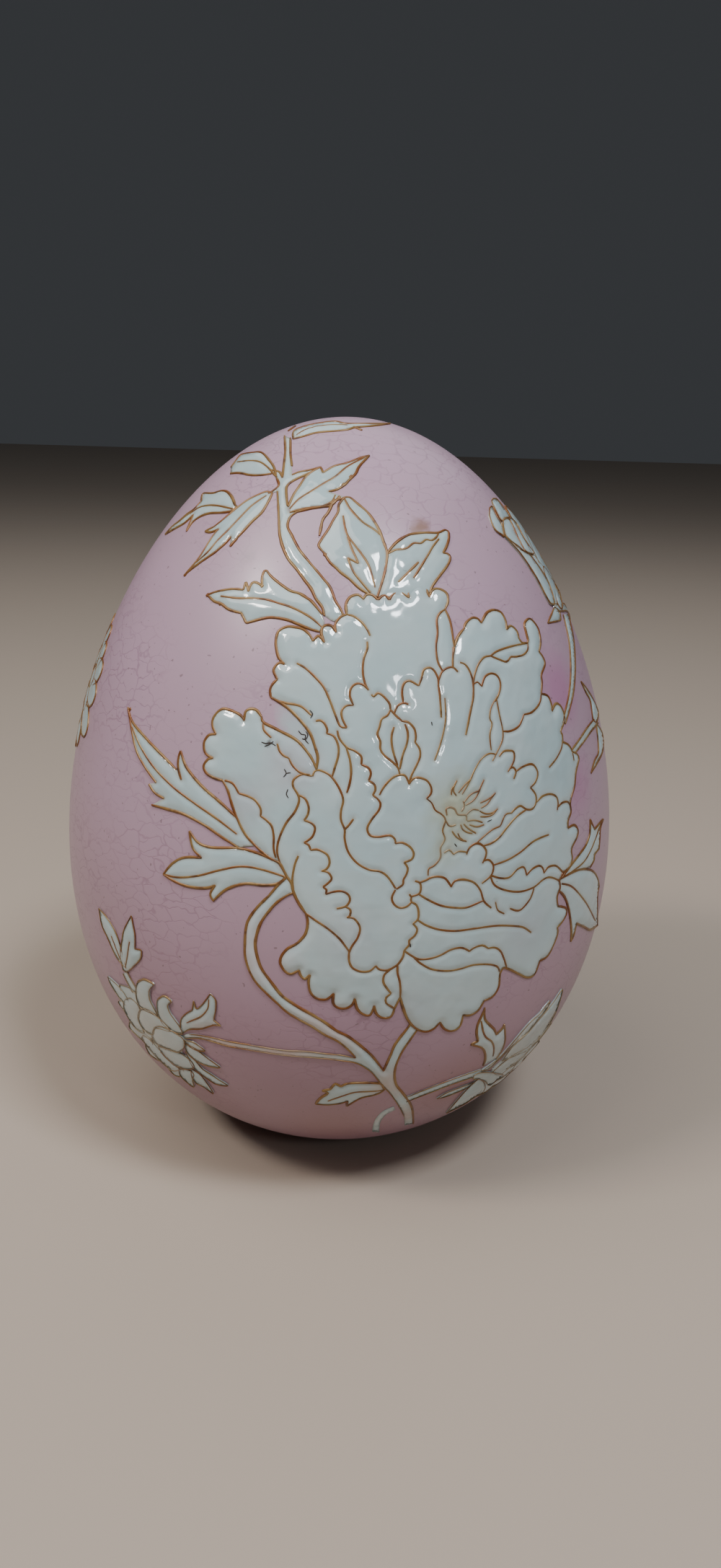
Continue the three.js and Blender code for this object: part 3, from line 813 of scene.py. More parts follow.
CALYX_RIGHT = [
    [(547, 755), (557, 747), (570, 741), (590, 739), (607, 739), (617, 735), (622, 738)],
    [(622, 748), (618, 760), (614, 767)],
    [(620, 768), (624, 773), (621, 783), (610, 798), (600, 812), (596, 822)],
    [(570, 828), (524, 830)],
    [(532, 800), (537, 767)],
]
TOOTHED_RIGHT = [
    [(500, 635), (482, 642), (463, 647), (448, 656)],
    [(445, 648)],
    [(432, 655), (423, 663), (415, 675), (407, 687), (400, 703)],
    [(402, 711)],
    [(415, 707), (432, 704), (448, 702), (465, 694), (480, 690)],
    [(456, 682)],
    [(467, 679), (477, 673), (485, 665), (493, 657), (498, 647), (512, 632)],
]
TOOTHED_LEFT = [
    [(370, 682), (357, 687), (345, 693), (335, 700), (320, 712), (307, 723), (297, 731)],
    [(285, 737)],
    [(293, 738), (304, 734)],
    [(298, 740), (290, 752), (282, 765), (273, 778), (262, 791), (257, 797)],
    [(263, 791), (278, 780), (298, 766), (313, 753), (321, 744)],
    [(319, 758)],
    [(330, 745)],
    [(340, 734), (350, 723), (362, 712), (370, 700), (378, 684)],
]
FAR_LEFT_LEAF = [
    [(240, 730), (250, 722), (260, 713), (270, 706), (280, 695)],
    [(281, 686), (285, 684)],
    [(297, 684), (307, 681), (315, 682), (322, 690), (326, 700), (329, 703)],
    [(320, 709), (307, 711), (290, 712), (277, 717), (267, 725), (259, 737)],
    [(263, 727), (269, 714)],
    [(257, 725), (245, 732), (230, 741)],
]
SMALL_LEFT_LEAF = [
    [(380, 648), (373, 638), (363, 628), (350, 628), (335, 631), (327, 640), (321, 648)],
    [(320, 657)],
    [(332, 656), (348, 659), (362, 659), (377, 657)],
    [(384, 662)],
]
POLE_LEAF = [
    [(408, 598), (425, 591), (445, 587), (465, 585), (482, 588), (515, 588), (541, 588)],
    [(515, 591), (492, 593), (482, 596), (465, 598), (440, 600), (422, 605), (407, 609)],
]
LOW_LEAF = [
    [(531, 1507), (527, 1502), (503, 1501), (483, 1502), (473, 1506)],
    [(465, 1502)],
    [(458, 1510)],
    [(447, 1512)],
    [(455, 1515), (445, 1522), (438, 1530)],
    [(455, 1531), (472, 1529), (482, 1526)],
    [(481, 1533)],
    [(500, 1522), (517, 1518), (528, 1514), (533, 1510)],
]
RIGHT_UPPER_LEAF = [
    [(793, 1198), (803, 1185), (812, 1172), (817, 1158), (818, 1148), (818, 1136)],
    [(824, 1150)],
    [(836, 1136)],
    [(832, 1148), (831, 1163), (830, 1177)],
    [(824, 1185), (823, 1193), (818, 1202)],
    [(797, 1209), (778, 1218)],
]
RIGHT_LOWER_LEAF = [
    [(797, 1208), (808, 1205), (820, 1207), (827, 1215), (830, 1227), (828, 1242), (828, 1283)],
    [(818, 1289), (810, 1285), (799, 1280)],
    [(795, 1297), (791, 1305)],
    [(792, 1290), (790, 1270), (787, 1255), (782, 1242), (774, 1234)],
    [(777, 1218)],
]
SMALL_RIGHT_LEAF = [
    [(671, 1401), (667, 1410), (662, 1422), (661, 1433), (663, 1443)],
    [(653, 1448)],
    [(667, 1452), (672, 1458), (673, 1468), (670, 1477)],
    [(688, 1467)],
    [(695, 1457), (700, 1443), (700, 1430), (699, 1420)],
    [(697, 1425), (688, 1434)],
    [(685, 1427), (678, 1420), (672, 1412), (672, 1397)],
]
# Each leaf's edge, the numbers of its edge strokes left bare of gold, and its veins
LEAVES = [
    (LEFT_UPPER_LEAF, (1, 4, 5, 7, 9), [
        [(184, 1008), (196, 1035), (214, 1063), (240, 1090), (270, 1113), (303, 1136), (329, 1156)],
    ]),
    (LEFT_LOWER_LEAF, (3,), [
        [(227, 1212), (248, 1216), (275, 1214), (306, 1206), (335, 1201), (363, 1205), (397, 1216)],
    ]),
    (CALYX_LEFT, (6,), [
        [(307, 827), (330, 830), (350, 830), (370, 832), (387, 837), (403, 842), (420, 850),
         (433, 858), (447, 870)],
    ]),
    (CALYX_MIDDLE, (1,), [
        [(478, 692), (483, 703), (490, 712), (503, 725), (520, 736), (527, 742)],
        [(476, 716), (478, 730), (482, 743), (492, 757), (502, 770), (512, 787), (520, 815)],
        [(482, 745), (487, 760), (493, 773), (497, 782)],
        [(497, 782), (482, 774)],
        [(482, 774), (490, 793), (500, 806), (514, 822)],
    ]),
    (CALYX_RIGHT, (3, 4), [
        [(538, 768), (548, 763), (563, 761), (573, 754), (583, 754), (590, 749), (598, 750),
         (605, 745), (608, 739)],
        [(608, 748), (600, 758), (593, 770), (585, 783), (573, 802)],
        [(580, 780), (567, 793), (552, 808)],
    ]),
    (TOOTHED_RIGHT, (3, 5), [
        [(505, 635), (482, 648), (465, 662), (448, 672), (432, 682), (415, 693), (402, 706)],
    ]),
    (TOOTHED_LEFT, (5,), [
        [(273, 780), (290, 765), (303, 750), (320, 733), (335, 717), (350, 702), (370, 688)],
    ]),
    (FAR_LEFT_LEAF, (), [
        [(245, 727), (273, 707), (287, 702), (303, 702), (323, 706)],
    ]),
    (SMALL_LEFT_LEAF, (1, 3), [
        [(330, 642), (348, 640), (362, 642), (375, 652), (384, 662)],
    ]),
    (POLE_LEAF, (), [
        [(412, 604), (425, 597), (440, 593), (458, 591), (482, 591)],
    ]),
    (LOW_LEAF, (), [
        [(530, 1511), (508, 1512), (492, 1513), (478, 1517), (463, 1522), (455, 1525)],
    ]),
    (RIGHT_UPPER_LEAF, (5,), [
        [(834, 1140), (827, 1155), (818, 1178), (808, 1195), (793, 1208), (780, 1217)],
    ]),
    (RIGHT_LOWER_LEAF, (4,), [
        [(778, 1225), (790, 1228), (800, 1237), (810, 1250), (817, 1262), (824, 1276)],
    ]),
    (SMALL_RIGHT_LEAF, (3,), [
        [(667, 1415), (669, 1428), (673, 1437), (681, 1443), (684, 1452), (683, 1463)],
    ]),
]
# The stems' edges, and the numbers of their edge strokes left bare of gold
UPPER_STEM = [
    [(403, 630), (405, 647)],
    [(405, 659)],
    [(415, 655), (430, 652), (445, 648)],
    [(432, 655)],
    [(410, 665), (399, 673), (397, 682), (399, 702)],
    [(402, 711), (412, 710)],
    [(402, 718), (399, 730), (405, 743), (415, 762), (427, 777), (438, 790), (448, 802),
     (458, 815), (465, 833), (472, 844), (476, 853)],
    [(464, 862), (450, 854)],
    [(447, 842), (438, 830), (432, 817), (423, 805), (412, 790), (400, 775), (392, 757),
     (388, 740), (387, 720), (386, 698), (385, 682)],
    [(372, 685)],
    [(380, 680), (387, 673), (384, 663)],
    [(376, 652)],
    [(388, 655), (392, 663)],
    [(394, 645), (396, 625), (395, 605)],
    [(403, 608)],
]
UPPER_STEM_BARE = (1, 3, 5, 7, 9, 11, 14)
LOWER_STEM = [
    [(406, 1238)],
    [(397, 1242), (383, 1252), (370, 1267), (361, 1281), (356, 1296), (354, 1310), (357, 1327),
     (363, 1343), (375, 1360), (388, 1377), (397, 1385), (417, 1398), (435, 1408), (450, 1417),
     (467, 1429), (483, 1437), (503, 1452), (517, 1465), (532, 1484)],
    [(537, 1473), (542, 1462), (548, 1448), (563, 1428), (569, 1420)],
    [(578, 1428)],
    [(568, 1442), (558, 1457), (550, 1474), (547, 1488), (549, 1503), (558, 1515), (567, 1527),
     (572, 1540), (573, 1557)],
    [(561, 1560)],
    [(560, 1547), (553, 1533), (542, 1517), (528, 1502), (517, 1488), (507, 1480), (493, 1473),
     (475, 1470), (450, 1467), (425, 1465), (400, 1463), (370, 1459), (340, 1454), (317, 1450),
     (300, 1445), (277, 1439), (257, 1439)],
    [(252, 1436)],
    [(263, 1433), (280, 1435), (300, 1439), (317, 1443), (340, 1447), (370, 1452), (400, 1456),
     (425, 1457), (450, 1460), (472, 1462), (493, 1466)],
    [(483, 1455), (468, 1443), (450, 1434), (433, 1423), (413, 1412), (397, 1402), (385, 1391),
     (373, 1380), (358, 1365), (349, 1352), (343, 1337), (340, 1323), (340, 1310), (341, 1290),
     (345, 1275), (357, 1258), (373, 1242), (385, 1228), (397, 1217)],
    [(404, 1224)],
]
LOWER_STEM_BARE = (0, 3, 5, 6, 7, 8, 10)
# The sides of its long low branch have only a thread of gold left
WORN_SIDES = (6, 8)
WORN_WIDTH = FINE_WIDTH * 0.7
# Loose strokes of gold beside the upper stem and the long top leaf
EXTRA_LINES = [
    [(465, 687), (456, 709), (448, 720), (445, 732), (443, 743)],
    [(470, 690), (458, 701), (445, 703), (428, 706), (412, 710)],
    [(490, 592), (502, 597)],
    [(400, 598), (410, 591)],
]

leaves = Shapes()
for edge, bare, veins in LEAVES:
    leaves.shape(edge, on_sheet, GRID, LEAF_CROWN, bare=bare, inner=veins)
leaves.shape(UPPER_STEM, on_sheet, GRID, LEAF_CROWN, bare=UPPER_STEM_BARE)
leaves.shape(LOWER_STEM, on_sheet, GRID, LEAF_CROWN, bare=LOWER_STEM_BARE)
for points in EXTRA_LINES:
    leaves.line(points, on_sheet, GRID, LINE_WIDTH)
for side in WORN_SIDES:
    leaves.line(LOWER_STEM[side], on_sheet, GRID, WORN_WIDTH)
leaf_enamel = leaves.enamel_piece("leaf_enamel")
leaf_enamel.data.materials.append(white)
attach(leaf_enamel, "root")

# Raised enamel side flowers
# The real pieces are smaller flowers seen from the side, in the same white enamel and gold, with
# long petals fanned from a cup. Each petal is its own low pillow, laid over the ones behind it.
# The flowers lowest on the egg have hardly any gold left.

LAYER_STEP = 0.05 * MM
PETAL_CROWN = 0.25 * MM
STEM_CROWN = 0.30 * MM
BLOOM_GRID = 0.42
BLOOM_LINE = 0.42 * MM
FAINT_LINE = 0.2 * MM
LOW_LEAF_LINE = 0.26 * MM
SHEET_PETAL_LINE = 0.3 * MM
INNER_SLIMMER = 0.12
CLIMB_STEPS = 6
SLOPE_STEP = 0.1 * MM
NARROWEST = 4 * MM


def on_egg(angle, z):
    """The point of the egg at an angle from the front and a height, and the outward direction."""
    point = Vector((math.sin(angle), -math.cos(angle), 0)) * egg_radius(z)
    point.z = z
    return point, egg_normal(point)


def around(bearing, height):
    """Gives a function that places millimetres x, y on the egg, from a bearing in degrees from
    the front, to the viewer's right, and a height."""

    def place(x, y):
        z = height * MM
        for _ in range(CLIMB_STEPS):
            slope = (egg_radius(z + SLOPE_STEP) - egg_radius(z - SLOPE_STEP)) / (2 * SLOPE_STEP)
            z += y * MM / CLIMB_STEPS / math.hypot(1, slope)
        return on_egg(math.radians(bearing) + x * MM / max(egg_radius(z), NARROWEST), z)

    return place


def turned(angle, length, width):
    """Gives a function that places shares of a length and a width, turned by angle degrees."""
    turn = math.radians(angle)

    def at(along, aside):
        along, aside = along * length, aside * width
        return (
            along * math.cos(turn) - aside * math.sin(turn),
            along * math.sin(turn) + aside * math.cos(turn),
        )

    return at


def petal(shapes, place, angle, reach, width, tip, line, layer):
    """A long petal, reach millimetres from the flower's cup, outlined round its outer half.

    The tip goes from pointed at 0.15 to round at 0.35."""
    at = turned(angle, reach, width)
    edge = [
        [at(0.5, -0.38)],
        [at(0.78, -0.5), at(0.95, -tip), at(1, 0), at(0.95, tip), at(0.78, 0.5), at(0.5, 0.38)],
        [at(0.08, 0.14)],
        [at(0.08, -0.14)],
    ]
    shapes.shape(edge, place, BLOOM_GRID, PETAL_CROWN, bare=(0, 2, 3), width=line, layer=layer)


def ribbon(shapes, place, points, widths, step, line=True, width=None):
    """A stem along points, its width going evenly from the first of widths to the second."""
    sides = [[], []]
    for i, (x, y) in enumerate(points):
        before, after = points[max(0, i - 1)], points[min(len(points) - 1, i + 1)]
        dx, dy = after[0] - before[0], after[1] - before[1]
        half = (widths[0] + (widths[1] - widths[0]) * i / (len(points) - 1)) / 2
        scale = half / math.hypot(dx, dy)
        sides[0].append((x - dy * scale, y + dx * scale))
        sides[1].append((x + dy * scale, y - dx * scale))
    back = sides[1][::-1]
    edge = [sides[0][1:], [back[0]], back[1:], [sides[0][0]]]
    bare = (1, 3) if line else (0, 1, 2, 3)
    shapes.shape(edge, place, step, STEM_CROWN, bare=bare, width=width)


def bloom(shapes, plan, width, tip=0.34, line=BLOOM_LINE):
    """A flower's petals, each layer's slimmer than the ones behind."""
    bearing, height, layers = plan
    place = around(bearing, height)
    for number, layer in enumerate(layers):
        slim = width * (1 - INNER_SLIMMER * number)
        for angle, reach in layer:
            petal(shapes, place, angle, reach, slim, tip, line, number * LAYER_STEP)


# Flowers by bearing in degrees and height in mm of the cup, then their layers from the back to
# the front, each petal as its angle and length
TOP_RIGHT_BLOOM = (66.2, 116.6, [
    [(64, 23), (45, 20), (28, 15)],
    [(52, 18), (33, 14)],
    [(38, 10)],
])
LOW_LEFT_BLOOM = (-32.9, 38.3, [
    [(160, 17), (180, 19), (201, 20), (222, 20), (243, 18)],
    [(173, 12), (196, 12.5), (219, 12.5), (242, 12)],
])
LOW_RIGHT_BLOOM = (37.0, 28.6, [
    [(30, 21), (14, 20), (-4, 19), (-22, 18), (-40, 16), (-60, 13)],
    [(20, 14), (0, 13), (-26, 12)],
])
LEFT_EDGE_BLOOM = (-88.0, 98.0, [
    [(102, 12), (75, 14), (49, 15.5), (31, 15.5), (14, 17.5), (-4, 18.5), (-23, 21), (-43, 18),
     (-64, 16), (-88, 14), (-115, 12)],
    [(62, 11), (36, 11.5), (9, 12.5), (-18, 13.5), (-45, 12.5), (-74, 10.5)],
    [(44, 7.5), (6, 8), (-34, 8)],
])
# Each with the width of its petals in mm, how round their tips are, and its line
SIDE_BLOOMS = [
    (TOP_RIGHT_BLOOM, 8.2, 0.36, BLOOM_LINE),
    (LOW_LEFT_BLOOM, 5.2, 0.2, FAINT_LINE),
    (LOW_RIGHT_BLOOM, 6.0, 0.2, FAINT_LINE),
    (LEFT_EDGE_BLOOM, 5.6, 0.3, BLOOM_LINE),
]

blooms = Shapes()
for side_flower, width, tip, line in SIDE_BLOOMS:
    bloom(blooms, side_flower, width, tip, line)

# The petals of these flowers that the drawing sheet shows, by layer
TOP_RIGHT_PETALS = [
    (1, [(681, 695), (683, 692), (687, 692), (691, 696), (696, 702), (701, 709), (706, 717),
         (699, 719), (696, 723), (693, 720), (688, 711), (683, 701)]),
    (2, [(704, 721), (707, 719), (711, 722), (716, 728), (721, 738), (727, 749), (734, 760),
         (739, 768), (734, 768), (728, 765), (722, 757), (716, 745), (710, 731)]),
    (3, [(678, 705), (680, 703), (683, 706), (686, 713), (690, 721), (695, 729), (697, 739),
         (698, 745), (694, 742), (687, 737), (681, 727), (677, 715)]),
    (4, [(696, 724), (698, 721), (701, 720), (705, 722), (710, 731), (716, 745), (722, 757),
         (726, 766), (718, 762), (709, 753), (700, 744), (697, 734)]),
    (1, [(739, 770), (744, 777), (751, 786), (755, 793), (761, 804), (766, 815), (763, 813),
         (758, 804), (750, 792), (741, 779), (735, 771)]),
    (5, [(699, 745), (706, 751), (716, 758), (725, 766), (732, 770), (738, 777), (748, 791),
         (757, 806), (762, 818), (765, 828), (767, 838), (762, 838), (755, 827), (749, 815),
         (742, 802), (734, 789), (726, 777), (717, 765), (707, 754)]),
    (2, [(760, 806), (763, 803), (768, 811), (774, 821), (777, 832), (779, 841), (778, 845),
         (775, 843), (771, 835), (767, 824), (762, 813)]),
]
LOW_LEFT_PETALS = [
    (2, [(165, 1366), (176, 1380), (183, 1396), (173, 1390), (163, 1377), (154, 1362),
         (151, 1353)]),
    (2, [(200, 1434), (213, 1444), (226, 1458), (240, 1473), (250, 1481), (240, 1483), (226, 1472),
         (211, 1456), (198, 1440)]),
    (2, [(267, 1443), (277, 1449), (285, 1456), (274, 1455), (263, 1449), (256, 1441)]),
    (2, [(268, 1450), (281, 1460), (293, 1469), (306, 1479), (290, 1477), (275, 1471), (262, 1460),
         (256, 1446)]),
    (2, [(270, 1467), (281, 1480), (293, 1488), (305, 1496), (317, 1504), (301, 1502), (288, 1494),
         (277, 1486), (268, 1477), (258, 1456)]),
    (2, [(278, 1488), (287, 1499), (297, 1515), (284, 1506), (274, 1501), (267, 1492),
         (266, 1480)]),
    (2, [(262, 1482), (270, 1488), (268, 1496), (270, 1506), (261, 1500), (251, 1490),
         (249, 1481)]),
    (3, [(176, 1384), (183, 1383), (192, 1391), (196, 1400), (194, 1412), (199, 1424), (201, 1431),
         (190, 1425), (180, 1411), (174, 1399), (173, 1389)]),
    (3, [(193, 1359), (200, 1357), (208, 1360), (215, 1364), (209, 1371), (209, 1384), (214, 1395),
         (219, 1406), (208, 1402), (197, 1396), (191, 1384), (190, 1370)]),
    (3, [(220, 1384), (227, 1380), (233, 1382), (239, 1388), (234, 1393), (237, 1403), (244, 1413),
         (251, 1423), (254, 1432), (242, 1429), (229, 1420), (221, 1406), (219, 1394)]),
    (3, [(237, 1454), (250, 1458), (262, 1466), (269, 1473), (270, 1479), (261, 1481), (249, 1478),
         (237, 1470), (227, 1460), (221, 1449)]),
    (4, [(195, 1400), (202, 1397), (212, 1402), (222, 1410), (232, 1419), (238, 1428), (225, 1425),
         (216, 1424), (214, 1433), (203, 1428), (196, 1418), (193, 1408)]),
    (5, [(215, 1425), (222, 1421), (233, 1424), (246, 1431), (256, 1439), (257, 1450), (249, 1457),
         (236, 1453), (223, 1448), (216, 1442), (213, 1434)]),
]
LOW_RIGHT_PETALS = [
    (2, [(630, 1528), (644, 1512), (655, 1501), (663, 1495), (670, 1499), (672, 1506), (668, 1513),
         (657, 1520), (642, 1530), (618, 1542)]),
    (1, [(619, 1514), (634, 1508), (650, 1502), (656, 1500), (648, 1507), (632, 1514), (616, 1520),
         (605, 1522)]),
    (2, [(712, 1447), (730, 1431), (745, 1414), (757, 1400), (768, 1386), (779, 1371), (771, 1399),
         (760, 1420), (745, 1440), (728, 1455), (709, 1464), (695, 1470)]),
    (2, [(699, 1470), (715, 1459), (732, 1449), (748, 1434), (738, 1449), (722, 1464), (706, 1478),
         (691, 1489), (682, 1485)]),
    (3, [(690, 1466), (705, 1450), (720, 1432), (735, 1415), (748, 1403), (761, 1387), (756, 1399),
         (745, 1413), (730, 1431), (712, 1447), (693, 1465), (676, 1481), (667, 1483)]),
    (4, [(656, 1489), (668, 1485), (684, 1486), (697, 1489), (689, 1495), (677, 1503), (672, 1498),
         (662, 1494), (655, 1495)]),
]
SHEET_PETALS = [
    (TOP_RIGHT_PETALS, SHEET_PETAL_LINE),
    (LOW_LEFT_PETALS, FAINT_LINE),
    (LOW_RIGHT_PETALS, FAINT_LINE),
]
for petals, width in SHEET_PETALS:
    for number, rim in petals:
        layer = number * LAYER_STEP
        blooms.shape([rim], on_sheet, GRID, PETAL_CROWN, width=width, layer=layer)
# Two tips where the gold has lasted
PETAL_TIPS = [
    [(193, 1361), (200, 1357), (208, 1360), (215, 1364)],
    [(220, 1385), (227, 1380), (233, 1382), (239, 1388)],
]
for points in PETAL_TIPS:
    blooms.line(points, on_sheet, GRID, BLOOM_LINE, layer=3 * LAYER_STEP)

# The small leaves and stems of the side flowers that the drawing sheet shows
LOW_LEFT_LEAVES = [
    [
        [(251, 1415), (257, 1406), (267, 1400)],
        [(269, 1387)],
        [(273, 1398), (282, 1391), (292, 1377)],
        [(299, 1385), (300, 1397), (297, 1414)],
        [(307, 1422)],
        [(297, 1421), (280, 1426), (263, 1427), (252, 1434)],
    ],
    [
        [(185, 1280), (188, 1297), (188, 1315)],
        [(197, 1317)],
        [(196, 1328), (188, 1338), (178, 1347)],
        [(172, 1345), (168, 1323), (170, 1303), (173, 1288), (183, 1269)],
    ],
    [
        [(149, 1272), (160, 1290), (168, 1312), (176, 1342)],
        [(163, 1328), (150, 1300), (142, 1282), (138, 1259)],
    ],
]
LOW_LEFT_VEINS = [
    [(290, 1385), (289, 1397), (280, 1408), (267, 1414), (260, 1417)],
    [(181, 1305), (178, 1325), (175, 1340)],
    [(156, 1297), (162, 1313), (168, 1329)],
]
for edge, vein in zip(LOW_LEFT_LEAVES, LOW_LEFT_VEINS):
    blooms.shape(edge, on_sheet, GRID, LEAF_CROWN, fine=[vein], width=LOW_LEAF_LINE)
# Stems along points on the sheet, with their widths at both ends in sheet steps
SHEET_STEMS = [
    ([(784, 852), (790, 878), (793, 900), (794, 930), (792, 958), (787, 982), (781, 1003)], (7, 5)),
    ([(794, 1043), (806, 1027), (817, 1011), (826, 1000)], (6, 8)),
    ([(174, 1348), (180, 1360), (188, 1374)], (6, 7)),
]
for points, widths in SHEET_STEMS:
    ribbon(blooms, on_sheet, points, widths, GRID, width=BLOOM_LINE)
STEM_LOOP = [(547, 1536), (533, 1543), (525, 1552), (522, 1560), (521, 1569)]
ribbon(blooms, on_sheet, STEM_LOOP, (5, 10), GRID, line=False)
LOW_TWIG = [(562, 1524), (593, 1512), (627, 1499), (668, 1485)]
ribbon(blooms, on_sheet, LOW_TWIG, (6, 7), GRID, width=FAINT_LINE)
RIGHT_TWIG_LEAVES = [
    [
        [(813, 955), (822, 970), (829, 988), (827, 1002)],
        [(822, 998), (818, 972), (812, 960), (805, 945)],
    ],
    [
        [(834, 1015), (836, 1035), (832, 1050), (819, 1072)],
        [(824, 1055), (829, 1045), (829, 1032), (828, 1020), (826, 1003)],
    ],
]
for edge in RIGHT_TWIG_LEAVES:
    blooms.shape(edge, on_sheet, GRID, LEAF_CROWN, width=BLOOM_LINE)
CALYX_TOOTH = [
    [(764, 853), (759, 864)],
    [(770, 862), (777, 860)],
    [(775, 848), (768, 842)],
]
blooms.shape(CALYX_TOOTH, on_sheet, GRID, LEAF_CROWN, width=BLOOM_LINE)
bloom_enamel = blooms.enamel_piece("side_flower_enamel")
bloom_enamel.data.materials.append(white)
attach(bloom_enamel, "root")

# Raised enamel sprays round the back
# The real back can't be seen. A plainer spray of the same flowers, stems and leaves, in the same
# white enamel and gold, is carried round it, placed by bearing and height.


def toothed_leaf(shapes, place, angle, length, fold):
    """A pointed leaf with a tooth on each side and a vein, length millimetres long.

    A fold of -1 turns it over."""
    at = turned(angle, length, length * fold)
    edge = [
        [at(0.12, 0.08), at(0.28, 0.13), at(0.42, 0.14), at(0.54, 0.23)],
        [at(0.57, 0.12)],
        [at(0.7, 0.1), at(0.86, 0.05), at(1, 0)],
        [at(0.86, -0.05), at(0.72, -0.09), at(0.6, -0.11)],
        [at(0.58, -0.19)],
        [at(0.44, -0.13), at(0.28, -0.13), at(0.12, -0.08), at(0, 0)],
    ]
    vein = [at(0, 0), at(0.3, 0.015), at(0.6, 0.01), at(0.93, 0)]
    shapes.shape(edge, place, BLOOM_GRID, LEAF_CROWN, inner=[vein], width=BLOOM_LINE)


def belly(x, y):
    """Places x, millimetres round the belly from the front, at height y in millimetres."""
    return on_egg(x * MM / BELLY_RADIUS, y * MM)


def round_belly(stops):
    """Bearings in degrees and heights as places on the belly."""
    return [(math.radians(bearing) * BELLY_RADIUS / MM, height) for bearing, height in stops]


BACK_GRID = 0.6
BACK_PETAL_WIDTH = 7.5
BACK_FLOWER = (176.0, 78.0, [
    [(20, 20), (38, 23), (56, 25), (74, 27), (92, 28), (110, 27), (128, 25), (146, 23), (164, 20)],
    [(38, 15), (59, 17), (80, 18), (102, 18), (124, 17), (146, 15)],
    [(52, 10), (78, 11), (106, 11), (132, 10)],
])
# Stems by bearing and height, with their widths at both ends in mm
BACK_STEMS = [
    ([(66, 116.5), (90, 112), (118, 92), (150, 74), (176, 78)], (1.3, 2.2)),
    ([(176, 78), (188, 52), (168, 28), (140, 18)], (2.2, 2.6)),
    ([(188, 52), (222, 44), (252, 62), (271, 96)], (1.8, 1.4)),
]
# Leaves by bearing, height, angle, length in mm and fold
BACK_LEAVES = [
    (104, 104, 60, 20, 1), (124, 88, -70, 18, -1), (206, 47, 50, 22, 1), (236, 52, -60, 18, -1),
    (172, 32, 150, 20, 1), (152, 74, 120, 20, -1), (262, 74, 150, 18, 1),
]
BACK_STEM_STEP = 9

back = Shapes()
for stops, widths in BACK_STEMS:
    points = smooth(round_belly(stops), BACK_STEM_STEP)
    ribbon(back, belly, points, widths, BACK_GRID, width=BLOOM_LINE)
for bearing, height, angle, length, fold in BACK_LEAVES:
    toothed_leaf(back, around(bearing, height), angle, length, fold)
bloom(back, BACK_FLOWER, BACK_PETAL_WIDTH)
back_enamel = back.enamel_piece("back_enamel")
back_enamel.data.materials.append(white)
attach(back_enamel, "root")

# Gold outlines
# The real lines are gold, brushed over the enamel's edges and folds and fired, thin and worn.
# They are thin bars along the strokes of all the enamel above, sunk so that only their rounded
# tops show, with a few thicker drops where the brush stopped.

# Drops at leaf tips and corners: place on the sheet and width in mm
DROPS = [
    (582, 783, 1.7), (578, 791, 1.2), (305, 837, 1.2), (345, 819, 0.9), (364, 813, 0.9),
    (451, 769, 1.0), (486, 661, 1.0), (476, 672, 0.9), (470, 690, 0.9), (257, 797, 0.9),
    (288, 825, 0.9), (180, 984, 1.1), (648, 1138, 0.8), (468, 1016, 0.9), (548, 1231, 0.9),
]
for x, y, width in DROPS:
    flower.line([(x - 2, y + 2), (x + 2, y - 2)], on_sheet, GRID, width * MM)
for outlined in (leaves, blooms, back):
    flower.strokes += outlined.strokes
gold_lines = flower.gold_piece("gold_lines")

# Worn gold, more ochre than metal: dull ochre lines broken up by red-brown patches where the
# gold lies thick, and faint olive grey where it has rubbed away.

OCHRE = "#8c6e40"
RED_BROWN = "#7b4a20"
DARK_BROWN = "#5d3a20"
RUBBED_AWAY = "#a0967f"
GOLD_PATCH = 5 * MM
GOLD_FLECK = 1.6129 * MM
# Where it has rubbed away: place on the sheet, radius in mm and strength
GOLD_WEAR = [
    (190, 1410, 17, 0.8), (740, 1440, 19, 0.7), (400, 1460, 10, 0.5), (640, 1125, 5, 0.5),
    (612, 1180, 4, 0.6), (810, 740, 9, 0.5),
]

gold, tree = start_material("worn_gold")
spots = add(tree, "ShaderNodeTexCoord", {}, "Object")
gentle = wander(tree, spots, *GENTLE_WANDER)
tone = paint(tree, OCHRE, [
    (patches(tree, spots, GOLD_PATCH, 3, 0.4, 0.62), RED_BROWN),
    (patches(tree, spots, GOLD_FLECK, 2, 0.56, 0.68, 0.8), DARK_BROWN),
    *((mark(tree, gentle, *place), RUBBED_AWAY) for place in GOLD_WEAR),
])
surface = {"Base Color": tone, "Roughness": 0.38, "Metallic": 0.25}
plug(tree, tree.nodes["Principled BSDF"], surface)
gold_lines.data.materials.append(gold)
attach(gold_lines, "root")

# Scars
# Fine chips and burst bubbles in the enamel, where dirt has settled over the years. They are
# hair-thin bars let into it. The dirt is a dull brown-black, and reads as fine dark cracks.

SCARS = [
    [(414, 1013), (418, 1018), (424, 1019), (423, 1025), (428, 1031)],
    [(419, 1024), (424, 1025), (427, 1019), (424, 1014)],
    [(364, 1029), (370, 1031), (376, 1030), (383, 1034)],
    [(368, 1035), (375, 1032), (380, 1028)],
    [(395, 1066), (398, 1072), (394, 1077)],
    [(398, 1072), (404, 1071)],
    [(568, 1307), (569, 1312)],
    [(597, 1001), (598, 1006)],
    [(430, 985), (434, 990), (431, 996)],
    [(400, 1094), (398, 1101), (401, 1106)],
    [(629, 1169), (632, 1173)],
    [(674, 1139), (680, 1136)],
]
SCAR_WIDTH = 0.2 * MM
chips = Shapes()
for path in SCARS:
    chips.line(path, flower.on_top(on_sheet), GRID, SCAR_WIDTH)
scars = chips.gold_piece("scars")

dirt, tree = start_material("settled_dirt")
surface = {"Base Color": colour("#3a3029"), "Roughness": 0.8}
plug(tree, tree.nodes["Principled BSDF"], surface)
scars.data.materials.append(dirt)
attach(scars, "root")

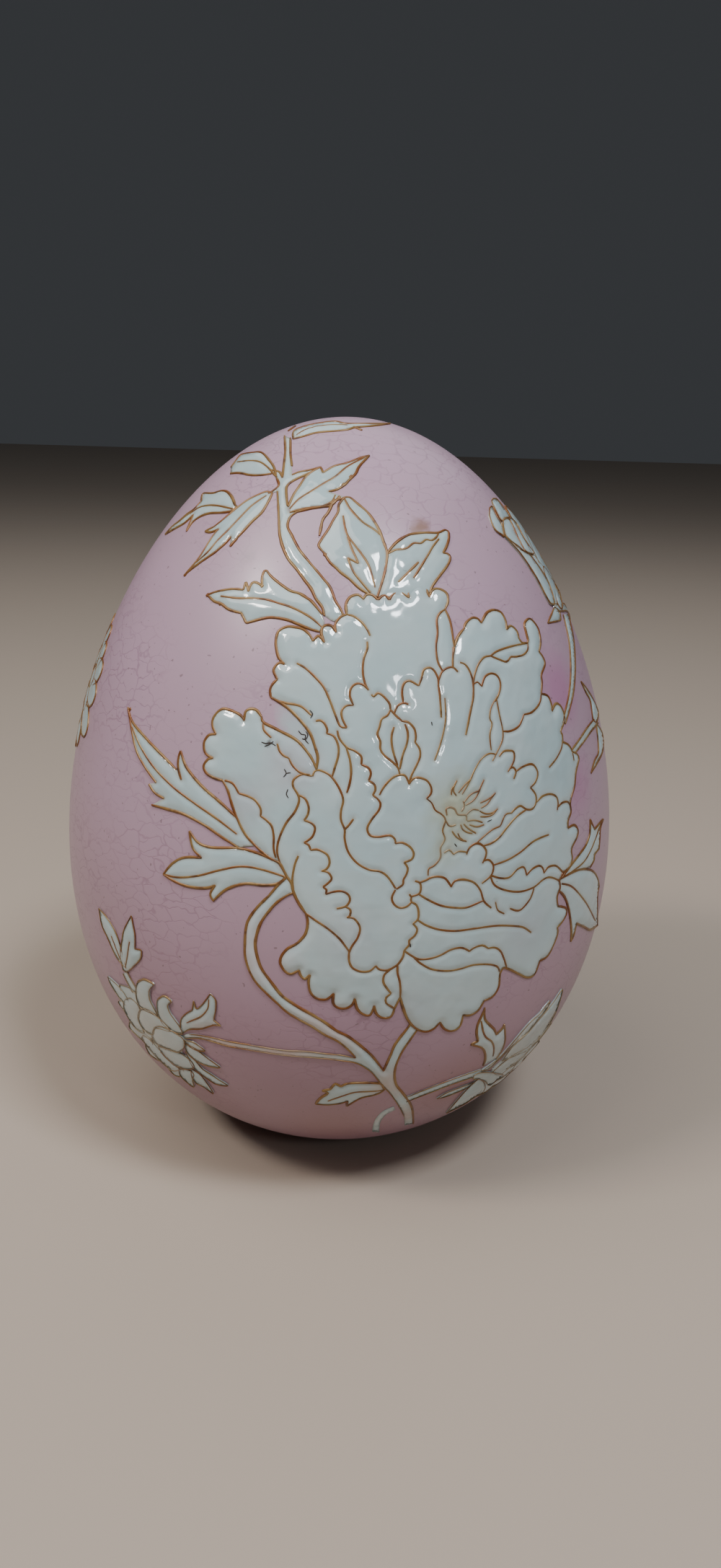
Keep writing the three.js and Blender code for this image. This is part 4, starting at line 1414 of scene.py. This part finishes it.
# Studio
# A plain pale paper floor. A broad soft light from the upper left and a small window to the
# right make the two main glints, and small lamps from the sides and the back fill the shadows.

FLOOR_SIZE = 6
bpy.ops.object.select_all(action="DESELECT")
bpy.ops.mesh.primitive_plane_add(size=FLOOR_SIZE, location=(0, 0, 0))
floor = bpy.context.object
floor.name = "floor"
paper, tree = start_material("floor_paper")
surface = {"Base Color": colour("#b0a293"), "Roughness": 0.85}
plug(tree, tree.nodes["Principled BSDF"], surface)
floor.data.materials.append(paper)

world = bpy.data.worlds.new("studio")
bpy.context.scene.world = world
world.use_nodes = True
dim = {"Color": colour("#c4cad2"), "Strength": 0.07}
plug(world.node_tree, world.node_tree.nodes["Background"], dim)

# Each light's place and size in metres, its watts and its tint
LIGHTS = {
    "sky": ((-0.34, -0.22, 0.80), (0.6, 0.6), 2.8, "#fffaf6"),
    "window": ((0.333, -0.493, 1.02), (0.25, 0.24), 8.5, "#f4f8ff"),
    "side lamp": ((-0.56, -0.36, 0.80), (0.24, 0.14), 4.2, "#fff8f4"),
    "low lamp": ((0.365, -0.717, 0.52), (0.08, 0.10), 0.6, "#f4f8ff"),
    "back fill": ((0.1, 0.62, 0.85), (1.0, 0.7), 1.3, "#f4f8ff"),
}
for name, (spot, size, watts, tint) in LIGHTS.items():
    light = bpy.data.lights.new(name, "AREA")
    light.shape = "RECTANGLE"
    light.size, light.size_y = size
    light.energy = watts
    light.color = colour(tint)[:3]
    lamp = bpy.data.objects.new(name, light)
    lamp.location = spot
    to_egg = Vector((0, 0, CENTRE_Z)) - Vector(spot)
    lamp.rotation_euler = to_egg.to_track_quat("-Z", "Y").to_euler()
    bpy.context.collection.objects.link(lamp)

SENSOR = 36
camera = bpy.data.cameras.new("camera")
camera.sensor_width = SENSOR
camera.lens = SENSOR * SHEET_FOCUS / SHEET_HEIGHT
camera.clip_start = 10 * MM
viewer = bpy.data.objects.new("camera", camera)
viewer.location = SHEET_EYE
viewer.rotation_euler = Matrix((RIGHT, UP, -FORWARD)).transposed().to_euler()
bpy.context.collection.objects.link(viewer)
bpy.context.scene.camera = viewer
